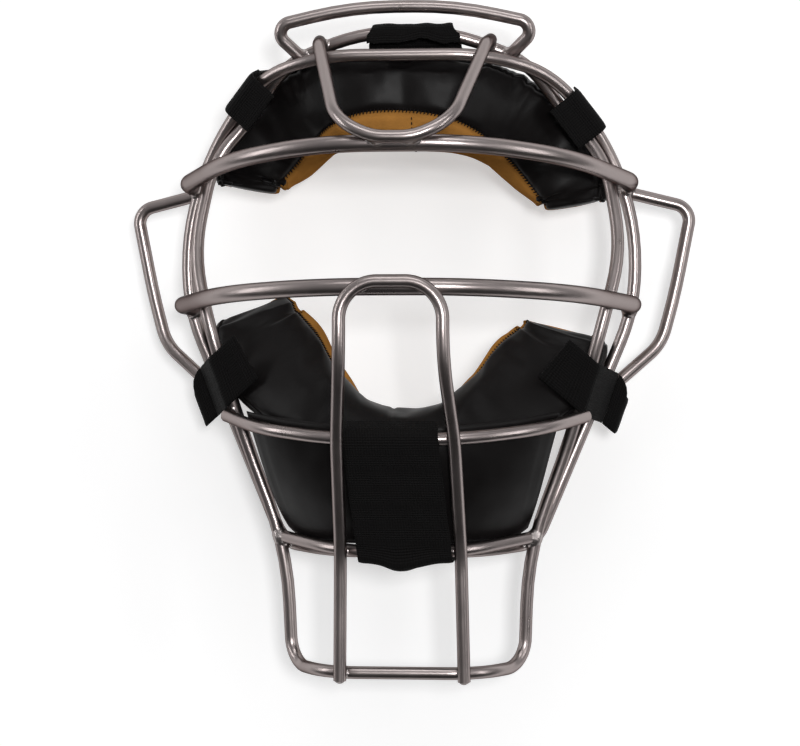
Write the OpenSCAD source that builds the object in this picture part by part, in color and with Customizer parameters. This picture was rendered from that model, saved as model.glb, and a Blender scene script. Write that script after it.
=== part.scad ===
// Umpire mask: a welded cage of bent steel tube with a forehead pad and a
// chin pad, each held on the cage by webbing straps with opening end tabs.
// Millimetres. +X to the right as seen from the front, -Y towards the front of
// the mask, +Z up. The origin lies in the plane of the outer ring's sides,
// midway between them, at the height where the face rests.

/* [Tube] */
// Outside diameter of the thin tube: rings, hoops, guards and lower bars
tube_d = 6; // [5:0.25:7]
// Outside diameter of the two heavy bars across the brow and the nose
bar_d = 8; // [7:0.25:9]
// Gap left for the weld between two tubes that cross
weld_gap = 0.25; // [0.1:0.05:0.5]
// Radius of a weld bead
bead_r = 1.4; // [1:0.1:1.8]

/* [Outer ring] */
// Distance between the centres of the ring's two sides
ring_w = 213.6; // [200:1:226]
// Height of the ring's top
ring_top = 148.2; // [145:0.1:153]
// How far the ring's top stands forward of its sides
ring_fwd = 38; // [32:1:42]
// Depth of the ring's lowest run below the origin
ring_low = 81; // [76:0.5:86]
// How far the outer ring's lowest run stands forward
ring_low_fwd = 24; // [20:1:27]
// Half the width of the ring at its lowest run
ring_low_x = 60.5; // [56:0.5:64]

/* [Inner ring] */
// How far the inner ring's top lies above the outer ring's top
inner_rise = 12.1; // [9:0.1:15]
// How far the inner ring's top stands forward
inner_fwd = 26; // [22:1:29]
// Half the width of the inner ring where it is widest
inner_x = 101.5; // [96:0.5:104]
// How far the inner ring's sides stand forward at the cheeks
inner_cheek = 30; // [26:1:34]
// Depth of the throat guard's bottom run below the origin
throat_low = 140; // [130:1:150]
// How far the throat guard's bottom run stands forward
throat_fwd = 38; // [32:1:44]

/* [Cross bars] */
// Height of the brow bar at its middle
brow_z = 104.4; // [100:0.2:108]
// How far the brow bar stands forward
brow_out = 76; // [70:1:84]
// Fall of the brow bar from its middle to its ends
brow_fall = 15; // [10:0.5:18]
// Height of the nose bar at its middle
nose_z = 39; // [34:0.5:44]
// How far the nose bar stands forward
nose_out = 87; // [80:1:94]
// Fall of the nose bar from its middle to its ends
nose_fall = 7.5; // [3:0.5:9]
// Depth of the chin bar's middle below the origin
chin_low = 30.3; // [28:0.5:34]
// How far the chin bar stands forward
chin_out = 68; // [64:1:74]
// Rise of the chin bar from its middle to its ends
chin_rise = 9.5; // [6:0.5:12]
// Depth of the throat bar's middle below the origin
throat_bar_low = 83; // [79:0.5:87]
// How far the throat bar stands forward
throat_bar_out = 46; // [42:1:50]

/* [Hoops and guards] */
// Distance between the centre hoop's legs at the nose bar
hoop_w = 46.6; // [42:0.2:52]
// Bend radius of the centre hoop's two top corners
hoop_r = 17; // [12:0.5:20]
// Distance between the centre hoop's legs at the chin bar
hoop_chin_w = 53.8; // [48:0.2:57]
// Distance between the centre hoop's feet
hoop_foot_w = 58; // [54:0.5:64]
// Distance between the brow hoop's ends on the inner ring
brow_hoop_w = 80.5; // [74:0.5:84]
// How far the crown guard stands above the inner ring's top
crown_rise = 11.5; // [10:0.1:16]
// Distance between the crown guard's outer corners
crown_w = 128; // [120:1:134]
// How far an ear guard stands out from the symmetry plane
ear_x = 134.5; // [130:0.5:142]

/* [Forehead pad] */
// Width of the padding band at the middle of the forehead
brow_pad_w = 44; // [38:0.5:46]
// Thickness of the forehead pad, front to back
brow_pad_t = 43; // [38:0.5:46]
// Thickness of the vinyl and leather covers
cover_t = 1.6; // [1.2:0.1:2.4]

/* [Chin pad] */
// Width of the roll under the chin
chin_pad_w = 25; // [22:0.5:26]
// Thickness of the chin pad, front to back
chin_pad_t = 42; // [36:0.5:44]
// Thickness of the flap that hangs from the chin roll
flap_t = 4; // [3:0.5:4.5]

/* [Straps] */
// Thickness of the webbing
web_t = 1.6; // [1.2:0.1:2]
// Width of the two forehead straps
side_strap_w = 23; // [20:0.5:24]
// Width of the two chin straps
chin_strap_w = 25; // [20:0.5:26]
// Width of the top strap
top_strap_w = 44; // [36:1:48]
// Place of the top strap along the inner ring, from the middle
top_strap_x = 4.4; // [-6:0.2:6]
// Width of the bottom strap, which lies between the legs of the centre hoop
bottom_strap_w = 44; // [36:0.2:44.2]
// Place of the bottom strap along the chin bar, from the middle
bottom_strap_x = -1.4; // [-1.4:0.1:1.4]
// Length of the opening tab of the top strap and of the bottom strap
wide_tab_len = 25; // [18:1:27]
// Length of a side strap's opening tab
tab_len = 24; // [18:1:28]
// Running clearance round a strap and beside its tab
strap_gap = 0.3; // [0.25:0.05:0.45]

/* [Hidden] */

metal = [0.50, 0.47, 0.46];
vinyl = [0.09, 0.09, 0.10];
leather = [0.66, 0.50, 0.26];
webbing = [0.07, 0.07, 0.08];
foam = [0.62, 0.60, 0.55];

tube_r = tube_d / 2;
bar_r = bar_d / 2;
half_w = ring_w / 2;
inner_top = ring_top + inner_rise;
crown_top = inner_top + crown_rise;
// Share of the shorter leg that a bend takes when no radius is given
bend_share = 0.47;
arc_steps = 8;
// Where a leg meets an arc: gap, lap of the swage on each side, its extra diameter
joint_gap = 0.1;
joint_lap = 0.25;
swage = 0.08;

// Vectors
function unit(v) = v / norm(v);
function xyz(v) = [v[0], v[1], v[2]];
function mirrored(v) = [for (k = [0:len(v) - 1]) k == 0 ? -v[k] : v[k]];
function reversed(l) = [for (k = [len(l) - 1:-1:0]) l[k]];
function both_sides(half) = concat(reversed([for (v = half) mirrored(v)]), half);
function columns(a, b, c, o) = [
    [a[0], b[0], c[0], o[0]],
    [a[1], b[1], c[1], o[1]],
    [a[2], b[2], c[2], o[2]]
];

// A bend at point i of a route: [tangent length, turn, radius, way in, way out]
// A route's point may hold a fourth number, the bend's radius.
function bend(route, i, n) =
    let (here = xyz(route[i]), before = xyz(route[(i + n - 1) % n]), after = xyz(route[(i + 1) % n]))
    let (way_in = unit(here - before), way_out = unit(after - here))
    let (turn = acos(max(-1, min(1, way_in * way_out))))
    let (most = bend_share * min(norm(here - before), norm(after - here)))
    let (asked = len(route[i]) > 3 ? route[i][3] : 0)
    let (tangent = asked > 0 ? min(most * 2, asked * tan(turn / 2)) : most)
    [tangent, turn, tangent / max(tan(turn / 2), 0.000001), way_in, way_out];

// The side of a bend that its centre lies on
function bend_side(b) = unit(b[4] - b[3] * (b[3] * b[4]));

// Points along a route's centreline, with its bends as short arcs
function bend_points(p, b) = b[1] < 0.5 ? [p] :
    let (side = bend_side(b), start = p - b[3] * b[0], centre = start + side * b[2])
    [for (k = [0:arc_steps]) let (a = b[1] * k / arc_steps)
        centre + b[2] * (b[3] * sin(a) - side * cos(a))];
function centreline(route, closed = false) =
    let (n = len(route))
    [for (i = [0:n - 1])
        each (!closed && (i == 0 || i == n - 1) ? [xyz(route[i])] :
            bend_points(xyz(route[i]), bend(route, i, n)))];

// The point on the right half of a centreline at a height
function at_height(line, z) =
    let (hits = [for (i = [0:len(line) - 2])
        let (a = line[i], b = line[i + 1])
        if (a[0] > 0 && b[0] > 0 && (a[2] - z) * (b[2] - z) <= 0 && a[2] != b[2])
            a + (b - a) * (z - a[2]) / (b[2] - a[2])])
    hits[0];
// The point on a centreline at a distance from the symmetry plane
function at_side(line, x) =
    let (hits = [for (i = [0:len(line) - 2])
        let (a = line[i], b = line[i + 1])
        if ((a[0] - x) * (b[0] - x) <= 0 && a[0] != b[0])
            a + (b - a) * (x - a[0]) / (b[0] - a[0])])
    hits[0];

module straight_tube(a, b, d) {
    z = unit(b - a);
    x = unit(abs(z[2]) < 0.9 ? cross([0, 0, 1], z) : cross([0, 1, 0], z));
    multmatrix(columns(x, cross(z, x), z, a)) cylinder(h = norm(b - a), d = d, $fn = 32);
}

module bent_corner(p, b, d) {
    side = bend_side(b);
    start = p - b[3] * b[0];
    multmatrix(columns(-side, b[3], cross(-side, b[3]), start + side * b[2]))
        rotate_extrude(angle = b[1], $fn = 96) translate([b[2], 0]) circle(d = d, $fn = 32);
}

// The rounded plug in a tube's open end, seated a little way inside it
module rounded_end(route, i, j, d) {
    z = unit(xyz(route[i]) - xyz(route[j]));
    x = unit(abs(z[2]) < 0.9 ? cross([0, 0, 1], z) : cross([0, 1, 0], z));
    multmatrix(columns(x, cross(z, x), z, xyz(route[i]))) rotate_extrude($fn = 32)
        polygon(d * [[0, -0.08], [0.485, -0.08], [0.485, 0.02], [0.46, 0.1], [0.38, 0.18], [0.22, 0.24],
            [0, 0.27]]);
}

// Round tube bent along a route: straight legs joined by arcs. A thin swage
// covers each place where a leg runs into an arc.
module bent_tube(route, d, closed = false, rounded = false) {
    n = len(route);
    bends = [for (i = [0:n - 1])
        !closed && (i == 0 || i == n - 1) ? [0, 0, 0] : bend(route, i, n)];
    last = closed ? n - 1 : n - 2;
    union() {
        if (rounded) {
            rounded_end(route, 0, 1, d);
            rounded_end(route, n - 1, n - 2, d);
        }
        for (i = [0:n - 1]) if (bends[i][1] > 0.5) bent_corner(xyz(route[i]), bends[i], d);
        for (i = [0:last]) {
            j = (i + 1) % n;
            way = unit(xyz(route[j]) - xyz(route[i]));
            start = xyz(route[i]) + way * bends[i][0];
            end = xyz(route[j]) - way * bends[j][0];
            straight_tube(start + way * (bends[i][0] > 0 ? joint_gap : 0),
                end - way * (bends[j][0] > 0 ? joint_gap : 0), d);
            if (bends[i][0] > 0)
                straight_tube(start - way * joint_lap, start + way * (joint_gap + joint_lap), d + swage);
            if (bends[j][0] > 0)
                straight_tube(end - way * (joint_gap + joint_lap), end + way * joint_lap, d + swage);
        }
    }
}

// Outer ring: its sides lie in the plane of the origin, its top stands forward
outer_half = [
    [38, -ring_fwd, ring_top],
    [70, -ring_fwd * 0.55, ring_top - 8],
    [half_w - 11, -2, ring_top - 42],
    [half_w + 1, 0, ring_top - 79],
    [half_w + 0.5, 0, 31],
    [ring_low_x, -4, -ring_low, 14],
    [34, -ring_low_fwd, -ring_low - 3]
];
outer_route = concat(outer_half, reversed([for (v = outer_half) mirrored(v)]));
outer_line = concat(centreline(outer_route, true), [xyz(outer_route[0])]);

// Inner ring: behind the outer ring at the top, in front of it at the cheeks,
// and bent on down as the throat guard
throat_x = ring_low_x - 3;
throat_y = -14.5;
inner_half = [
    [22, -inner_fwd, inner_top],
    [58, -20, inner_top - 14.3],
    [73.6, -9.5, inner_top - 36.3],
    [inner_x - 7.8, -11, ring_top - 47.2],
    [inner_x, -inner_cheek * 0.66, ring_top - 90.2],
    [inner_x - 9, -inner_cheek, 22],
    [ring_low_x + 17.5, -16.5, -30],
    [throat_x, throat_y, -ring_low - 3],
    [throat_x - 2, -10, -throat_low + 1.5, 13],
    [36, -throat_fwd + 2, -throat_low]
];
inner_route = concat(inner_half, reversed([for (v = inner_half) mirrored(v)]));
inner_line = concat(centreline(inner_route, true), [xyz(inner_route[0])]);

// Brow and nose bars: bowed forward, their ends bent back and coped onto the
// front of the outer ring
brow_end_z = brow_z - brow_fall;
brow_hold = at_height(outer_line, brow_end_z);
brow_half = [
    [34, -brow_out, brow_z - 0.4],
    [80, -brow_out * 0.68, brow_z - 5.8],
    [brow_hold[0] + 4.4, -14, brow_end_z + 1, 12],
    [brow_hold[0] + 3.2, brow_hold[1] + 1, brow_end_z]
];
brow_route = both_sides(brow_half);
nose_end_z = nose_z - nose_fall;
nose_hold = at_height(outer_line, nose_end_z);
nose_half = [
    [34, -nose_out, nose_z - 0.3],
    [82, -nose_out * 0.725, nose_z - 2.8],
    [nose_hold[0] + 1.5, -21, nose_end_z + 0.7, 11],
    [nose_hold[0] - 0.8, nose_hold[1] - 1, nose_end_z]
];
nose_route = both_sides(nose_half);
nose_line = centreline(nose_route);
brow_line = centreline(brow_route);

// Chin bar: its cut ends lie on the front of the inner ring
cross_tubes = tube_d + weld_gap;
chin_end_z = -chin_low + chin_rise;
chin_hold = at_height(inner_line, chin_end_z);
chin_half = [
    [28, -chin_out, -chin_low],
    [66, -chin_out * 0.72, -chin_low + 4.6],
    [chin_hold[0] + 4, chin_hold[1] - cross_tubes + 0.7, chin_end_z + 0.4]
];
chin_route = both_sides(chin_half);
chin_line = centreline(chin_route);

// Throat bar: its ends are coped onto the inner ring's inner side
throat_hold = at_height(inner_line, -throat_bar_low + 5.5);
throat_half = [
    [26, -throat_bar_out, -throat_bar_low],
    [throat_hold[0] - 1, throat_hold[1], -throat_bar_low + 5.5]
];
throat_route = both_sides(throat_half);
throat_line = centreline(throat_route);

// Centre hoop: an upside-down U over the front of the nose bar, the chin bar
// and the throat bar, its feet on the throat guard's bottom run
hoop_x = hoop_w / 2;
hoop_chin_x = hoop_chin_w / 2;
foot_x = hoop_foot_w / 2;
cross_bar = tube_r + bar_r + weld_gap;
nose_front = -nose_out - cross_bar;
chin_front = at_side(chin_line, hoop_chin_x)[1] - cross_tubes - 0.5;
throat_front = at_side(throat_line, foot_x - 1)[1] - cross_tubes;
// The throat guard's bottom run, from its left leg to its right leg
low_run = concat([for (k = [7:9]) mirrored(inner_half[k])], reversed([for (k = [7:9]) inner_half[k]]));
low_line = centreline(low_run);
foot_front = at_side(low_line, foot_x)[1] - cross_tubes;
hoop_half = [
    [hoop_x, nose_front, nose_z + 2, hoop_r],
    [hoop_x, nose_front, 6, 58],
    [hoop_chin_x, chin_front, -chin_low, 160],
    [foot_x - 1, throat_front, -throat_bar_low, 60],
    [foot_x, foot_front, -throat_low - 1.8]
];
hoop_route = both_sides(hoop_half);

// Brow hoop: a U from the inner ring's top, over the outer ring, down to the
// front of the brow bar
brow_front = at_side(brow_line, 0)[1] - cross_bar * 0.955;
over_top = at_side(outer_line, brow_hoop_w / 2 - 1);
brow_hoop_half = [
    [9, brow_front, brow_z + 1.9, 26],
    [26.5, brow_front + 3, brow_z + 9.4, 24],
    [brow_hoop_w / 2 - 1, over_top[1] - cross_tubes * 0.55, over_top[2] + cross_tubes * 1.02, 9],
    [brow_hoop_w / 2, -inner_fwd - 1, inner_top - 4.3]
];
brow_hoop_route = both_sides(brow_hoop_half);

// Crown guard: a flat loop standing on the inner ring
crown_half = [
    [24, -30, crown_top],
    [crown_w / 2, -30, crown_top - 9, 5.5],
    [50, -24, inner_top - 10.5]
];
crown_route = both_sides(crown_half);

// Ear guard, right side: from behind the brow bar's end down to the ring
ear_top = at_height(outer_line, brow_end_z - 3);
ear_foot = at_height(outer_line, -14);
ear_route = [
    [ear_top[0] + 1, 6.5, ear_top[2]],
    [ear_x, 10, ear_top[2] - 7.5, 8],
    [ear_x - 8, 10.5, 38],
    [ear_x - 14.5, 9.5, 14, 24],
    [ear_foot[0] + 2, 2, -12]
];

module outer_ring() {
    color(metal) bent_tube(outer_route, tube_d, true);
}

module inner_ring() {
    color(metal) bent_tube(inner_route, tube_d, true);
}

module brow_bar() {
    color(metal) difference() {
        bent_tube(brow_route, bar_d);
        outer_ring();
    }
}

module nose_bar() {
    color(metal) difference() {
        bent_tube(nose_route, bar_d);
        outer_ring();
    }
}

module chin_bar() {
    color(metal) bent_tube(chin_route, tube_d, rounded = true);
}

module throat_bar() {
    color(metal) difference() {
        bent_tube(throat_route, tube_d);
        inner_ring();
    }
}

module centre_hoop() {
    color(metal) bent_tube(hoop_route, tube_d, rounded = true);
}

module brow_hoop() {
    color(metal) difference() {
        bent_tube(brow_hoop_route, tube_d);
        inner_ring();
    }
}

module crown_guard() {
    color(metal) difference() {
        bent_tube(crown_route, tube_d);
        inner_ring();
    }
}

module ear_guard() {
    color(metal) difference() {
        bent_tube(ear_route, tube_d);
        outer_ring();
        brow_bar();
    }
}

module ear_guard_left() {
    mirror([1, 0, 0]) ear_guard();
}

module ear_guard_right() {
    ear_guard();
}

// Weld beads. Each is a small ball of weld in a corner between two tubes.
bead_gap = 0.22;

// Beads where a tube along u crosses a tube along v, on one side of each
module cross_beads(a, b, u, v, ra, rb, sides) {
    w = unit(cross(u, v));
    n = w * sign((b - a) * w);
    apart = (b - a) * n;
    foot = a + u * ((b - a) * u);
    reach_a = sqrt(pow(ra + bead_r + bead_gap, 2) - ra * ra);
    reach_b = sqrt(pow(rb + bead_r + bead_gap, 2) - pow(apart - ra, 2));
    for (side = sides)
        translate(foot + n * ra + u * reach_b * side[0] + v * reach_a * side[1]) sphere(r = bead_r, $fn = 24);
}

// Beads above and below a tube along v whose end is coped onto a tube along u
module end_beads(a, u, v, ra, rb, sides) {
    for (side = sides)
        translate(a + v * (ra + bead_r + bead_gap) + u * side * (rb + bead_r + bead_gap))
            sphere(r = bead_r, $fn = 24);
}

// Bead in the groove between two tubes that run side by side along u
module groove_bead(a, b, u, ra, rb, side) {
    apart = norm(b - a);
    to_a = ra + bead_r + bead_gap * 1.5;
    to_b = rb + bead_r + bead_gap * 1.5;
    n = (b - a) / apart;
    h = (apart * apart + to_a * to_a - to_b * to_b) / (2 * apart);
    translate(a + n * h + unit(cross(u, n)) * side * sqrt(to_a * to_a - h * h)) sphere(r = bead_r, $fn = 24);
}

// Direction of a line at a distance from the symmetry plane, and at a height
function way_at_side(line, x) = unit(at_side(line, x + 0.5) - at_side(line, x - 0.5));
function way_at_height(line, z) = unit(at_height(line, z - 0.5) - at_height(line, z + 0.5));
function flat(v, u) = unit(v - u * (v * u));
hoop_line = centreline(hoop_route);
brow_hoop_line = centreline(brow_hoop_route);

module half_beads() {
    for (bar = [[chin_line, -chin_low], [throat_line, -throat_bar_low], [low_line, -throat_low]]) {
        leg = at_height(hoop_line, bar[1]);
        here = at_side(bar[0], leg[0]);
        cross_beads(here, leg, way_at_side(bar[0], leg[0]), way_at_height(hoop_line, bar[1]),
            tube_r, tube_r, [[1, 1], [1, -1]]);
    }
    for (bar = [[brow_line, brow_hold], [nose_line, nose_hold]]) {
        u = way_at_height(outer_line, bar[1][2]);
        n = len(bar[0]) - 1;
        end_beads(bar[1], u, flat(bar[0][n - 1] - bar[0][n], u), tube_r, bar_r, [-1, 1]);
    }
    for (x = [12.5, 15.5])
        groove_bead(at_side(brow_line, x), at_side(brow_hoop_line, x), way_at_side(brow_line, x),
            bar_r, tube_r, 1);
    groove_bead(at_side(nose_line, 9.5), at_side(hoop_line, 9.5), way_at_side(nose_line, 9.5),
        bar_r, tube_r, 1);
}

module weld_beads() {
    color(metal) {
        half_beads();
        mirror([1, 0, 0]) half_beads();
    }
}

// Pads. A pad is swept through stations [x, y, z, half width, half thickness, edge],
// where edge is the angle round the section at which vinyl meets leather.
front_steps = 12;
rear_steps = 12;
rear_edge = -38;
pad_stations = 10;

function catmull(a, b, c, d, t) =
    0.5 * (2 * b + (c - a) * t + (2 * a - 5 * b + 4 * c - d) * t * t + (3 * b - a - 3 * c + d) * t * t * t);
function smooth(rows, s) =
    let (n = len(rows) - 1, i = min(n - 1, floor(s)), t = s - i)
    catmull(rows[i == 0 ? 0 : i - 1], rows[i], rows[i + 1], rows[min(n, i + 2)], t);
// Rows of the whole pad, from the left tip over the middle to the right tip
function whole_pad(half) = concat(reversed([for (k = [1:len(half) - 1]) mirrored(half[k])]), half);

// Unit vector across the pad at a place, out of the face opening
function across(rows, s, outward) =
    let (n = len(rows) - 1, a = smooth(rows, max(0, s - 0.05)), b = smooth(rows, min(n, s + 0.05)))
    let (along = unit([b[0] - a[0], 0, b[2] - a[2]]))
    outward * [-along[2], 0, along[0]];

// One point of a section: square at the outer front edge, rounder elsewhere
function section_point(row, out, inset, phi) =
    let (c = cos(phi), s = sin(phi), power = s < 0 ? 2 / 2.5 : c > 0 ? 2 / 3.6 : 2 / 2.4)
    let (a = max(0.5, row[3] - inset), b = max(0.6, row[4] - inset))
    let (u = a * sign(c) * pow(abs(c), power), v = -b * sign(s) * pow(abs(s), power))
    [row[0], row[1], row[2]] + u * out + [0, v, 0];

function section_arc(row, out, inset, from, to, steps) =
    [for (k = [0:steps]) section_point(row, out, inset, from + (to - from) * k / steps)];

// Stations of a pad; the covers close over the foam at the two tips
function pad_rows(half, count) =
    let (rows = whole_pad(half), n = len(rows) - 1)
    [for (i = [0:count]) smooth(rows, n * i / count)];
function pad_outs(half, count, outward) =
    let (rows = whole_pad(half), n = len(rows) - 1)
    [for (i = [0:count]) across(rows, n * i / count, outward)];
function tip_inset(i, count) = (i == 0 || i == count) ? 100 : cover_t;

// Solid through equal rings of points; quads from split on use the other diagonal
module lofted(rings, split) {
    m = len(rings[0]);
    n = len(rings) - 1;
    walls = [for (i = [0:n - 1]) for (j = [0:m - 1])
        let (a = i * m + j, b = i * m + (j + 1) % m, c = b + m, d = a + m)
        each (j < split ? [[a, b, c], [a, c, d]] : [[a, b, d], [b, c, d]])];
    first = split >= m ? [for (j = [1:m - 2]) [0, j + 1, j]] :
        [for (j = [0:split - 2]) each [[j, m - 1 - j, j + 1], [j + 1, m - 1 - j, m - 2 - j]]];
    start = n * m;
    end = split >= m ? [for (j = [1:m - 2]) [start, start + j, start + j + 1]] :
        [for (j = [0:split - 2]) each [
            [start + j, start + j + 1, start + m - 1 - j],
            [start + j + 1, start + m - 2 - j, start + m - 1 - j]]];
    polyhedron(points = [for (r = rings) each r], faces = concat(walls, first, end));
}

module pad_foam(half, outward) {
    count = pad_stations * 2;
    rows = pad_rows(half, count);
    outs = pad_outs(half, count, outward);
    rings = [for (i = [0:count]) let (t = tip_inset(i, count)) concat(
        section_arc(rows[i], outs[i], t, rear_edge, rows[i][5], front_steps),
        [for (k = [1:rear_steps - 1])
            section_point(rows[i], outs[i], t,
                rows[i][5] + (360 + rear_edge - rows[i][5]) * k / rear_steps)])];
    lofted(outward > 0 ? reversed(rings) : rings, len(rings[0]) + 1);
}

module pad_skin(half, outward, front) {
    count = pad_stations * 2;
    rows = pad_rows(half, count);
    outs = pad_outs(half, count, outward);
    steps = front ? front_steps : rear_steps;
    rings = [for (i = [0:count])
        let (from = front ? rear_edge : rows[i][5], to = front ? rows[i][5] : 360 + rear_edge)
        concat(
            section_arc(rows[i], outs[i], 0, from, to, steps),
            reversed(section_arc(rows[i], outs[i], tip_inset(i, count), from, to, steps)))];
    lofted(outward > 0 ? reversed(rings) : rings, steps + 1);
}

forehead_half = [
    [0, -ring_fwd + 3.6 + brow_pad_t / 2, ring_top - 20.2, brow_pad_w / 2, brow_pad_t / 2, 101],
    [half_w * 0.234, -12, ring_top - 21, brow_pad_w / 2 - 0.2, brow_pad_t / 2, 106],
    [half_w * 0.44, -0.5, ring_top - 26.2, brow_pad_w / 2 + 0.6, brow_pad_t / 2 - 1.5, 118],
    [half_w * 0.609, 13.3, ring_top - 39.6, brow_pad_w / 2, brow_pad_t / 2 - 2.5, 128],
    [half_w * 0.712, 17, ring_top - 52.5, brow_pad_w / 2 - 3, brow_pad_t / 2, 138],
    [half_w * 0.735, 17.5, ring_top - 58.5, brow_pad_w / 2 - 7, brow_pad_t / 2 - 2, 148],
    [half_w * 0.735, 18, ring_top - 62.5, brow_pad_w / 2 - 11, brow_pad_t / 2 - 6, 155]
];

module forehead_foam() {
    color(foam) pad_foam(forehead_half, 1);
}

module forehead_cover() {
    color(vinyl) pad_skin(forehead_half, 1, true);
}

module forehead_face() {
    color(leather) pad_skin(forehead_half, 1, false);
}

chin_half_rows = [
    [0, -chin_out + 9.5 + chin_pad_t / 2, 14.3 - chin_low - chin_pad_w / 2,
        chin_pad_w / 2, chin_pad_t / 2, 178],
    [half_w * 0.225, -34, 3.8 - chin_low, chin_pad_w / 2 + 3, chin_pad_t / 2, 174],
    [half_w * 0.412, -23.6, 15.8 - chin_low, chin_pad_w / 2 + 7.5, chin_pad_t / 2 + 1, 152],
    [half_w * 0.562, -7.9, 31 - chin_low, chin_pad_w / 2 + 12.5, chin_pad_t / 2 + 2, 143],
    [half_w * 0.665, 4.1, 45 - chin_low, chin_pad_w / 2 + 10.5, chin_pad_t / 2 + 1, 143],
    [half_w * 0.698, 9, 55 - chin_low, chin_pad_w / 2 + 7.5, chin_pad_t / 2 - 1, 146],
    [half_w * 0.712, 11, 61.3 - chin_low, 9, 10, 152]
];

module chin_foam() {
    color(foam) pad_foam(chin_half_rows, -1);
}

module chin_cover() {
    color(vinyl) pad_skin(chin_half_rows, -1, true);
}

module chin_face() {
    color(leather) pad_skin(chin_half_rows, -1, false);
}

// Flap: a padded sheet behind the chin bar and the throat bar, hung from the roll
flap_columns = 12;
flap_rows = 5;
flap_top_x = half_w * 0.693;
flap_low_x = half_w * 0.535;
flap_top_z = -chin_low + 6;
flap_low_z = -throat_bar_low + 3.6;
// How far the flap bellies forward between the two bars
flap_bulge = 5.5;
function flap_front(s, t) =
    let (top = at_side(chin_line, s * flap_top_x), low = at_side(throat_line, s * flap_low_x))
    let (x = s * (flap_top_x + (flap_low_x - flap_top_x) * t), rise = 6.5 * s * s)
    let (corner = 6 * pow(max(0, abs(s) - 0.75) / 0.25, 2) * pow(max(0, t - 0.5) / 0.5, 2))
    [x,
        top[1] + (low[1] - top[1]) * t + (tube_r + 0.1) * (1 + 0.8 * s * s * t)
            - 4 * flap_bulge * t * (1 - t),
        flap_top_z + rise * (1 - t) + (flap_low_z - flap_top_z) * t + corner];
function flap_swell(s, t) = flap_t * (0.45 + 0.55 * pow((1 - pow(s, 4)) * (1 - pow(2 * t - 1, 4)), 0.5));

module chin_flap() {
    m = flap_columns + 1;
    rings = [for (j = [0:flap_rows]) let (t = j / flap_rows) concat(
        [for (i = [0:flap_columns]) flap_front(2 * i / flap_columns - 1, t)],
        [for (i = [flap_columns:-1:0]) let (s = 2 * i / flap_columns - 1)
            flap_front(s, t) + [0, flap_swell(s, t), 0]])];
    color(vinyl) lofted(rings, m);
}

// Webbing. A ribbon is a strip of even thickness along a flat route with round bends.
function flat_points(route) =
    let (line = centreline([for (p = route) len(p) > 2 ? [p[0], p[1], 0, p[2]] : [p[0], p[1], 0]]))
    [for (p = line) [p[0], p[1]]];
function ribbon(route, t) =
    let (p = flat_points(route), n = len(p) - 1)
    let (normals = [for (i = [0:n]) let (d = unit(p[min(n, i + 1)] - p[max(0, i - 1)])) [-d[1], d[0]]])
    concat([for (i = [0:n]) p[i] + normals[i] * t / 2], [for (i = [n:-1:0]) p[i] - normals[i] * t / 2]);

wrap_r = tube_r + strap_gap + web_t / 2;
// Gap between a strap's fixed band and its opening tab
tab_gap = 0.4;

// A side strap's own frame on the outer ring: out of the ring, back, along
// the mean direction of the two rings
function strap_frame(z) =
    let (o = at_height(outer_line, z), i = at_height(inner_line, z - 4) - at_height(inner_line, z + 4))
    let (along = unit(at_height(outer_line, z - 4) - at_height(outer_line, z + 4) + i))
    let (out = unit([-along[2], 0, along[0]]))
    [out, cross(out, along), -along, o];
// The inner ring in that frame
function inner_in(frame, z) =
    let (d = at_height(inner_line, z) - frame[3])
    [d * frame[0], d * frame[1]];
module in_frame(frame) {
    multmatrix(columns(frame[0], frame[1], frame[2], frame[3])) children();
}

// The left strap sits a little higher than the right one
forehead_right_z = ring_top - 25.2;
forehead_left_z = ring_top - 19;
// The rings cross under the strap, so its front stands off by half their turn
forehead_off = wrap_r + 2.5;
forehead_side = wrap_r + 0.2;
function forehead_band(inner) = [
    [inner[0] - 7.5, -forehead_off - 0.8],
    [inner[0] - 1, -forehead_off - 0.1, 9],
    [forehead_side, -forehead_off, 4],
    [forehead_side, 4.6]
];
forehead_tab = [[forehead_side, 4.6 + tab_gap], [forehead_side, 4.6 + tab_gap + tab_len]];

chin_strap_z = -4.2;
chin_frame = strap_frame(chin_strap_z);
chin_inner = inner_in(chin_frame, chin_strap_z);
chin_band = [
    [chin_inner[0] - 8.5, chin_inner[1] - 9.9],
    [chin_inner[0] - 2.5, chin_inner[1] - 6.4, 6],
    [chin_inner[0] + 2.9, chin_inner[1] - 5.9, 3],
    [wrap_r + 1.1, -1.2]
];
// The tab stands out round the foot of the ear guard. It is narrower than the
// strap, so that its upper edge stays below the guard's leg.
chin_tab_w = 0.65;
// Slant of a chin strap: how far it falls for each millimetre outwards
chin_slant = 0.42;
chin_tab = [
    [wrap_r + 1.8, -1.2 + tab_gap * 1.5],
    [12.6, 2.6, 4],
    [13, 11.5, 5],
    [3, 16.5]
];

// A side strap runs across the rings at a slant, its folds along the tubes
module slanted(slant) {
    multmatrix([[1, 0, 0, 0], [0, 1, 0, 0], [slant, 0, 1, 0]]) children();
}

module side_ribbon(frame, route, w) {
    color(webbing) in_frame(frame)
        linear_extrude(height = w, center = true) polygon(ribbon(route, web_t));
}

module forehead_strap(z) {
    frame = strap_frame(z);
    side_ribbon(frame, forehead_band(inner_in(frame, z)), side_strap_w);
}

module forehead_strap_right() {
    forehead_strap(forehead_right_z);
}

module forehead_strap_left() {
    mirror([1, 0, 0]) forehead_strap(forehead_left_z);
}

module forehead_tab_right() {
    side_ribbon(strap_frame(forehead_right_z), forehead_tab, side_strap_w);
}

module forehead_tab_left() {
    mirror([1, 0, 0]) side_ribbon(strap_frame(forehead_left_z), forehead_tab, side_strap_w);
}

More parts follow.
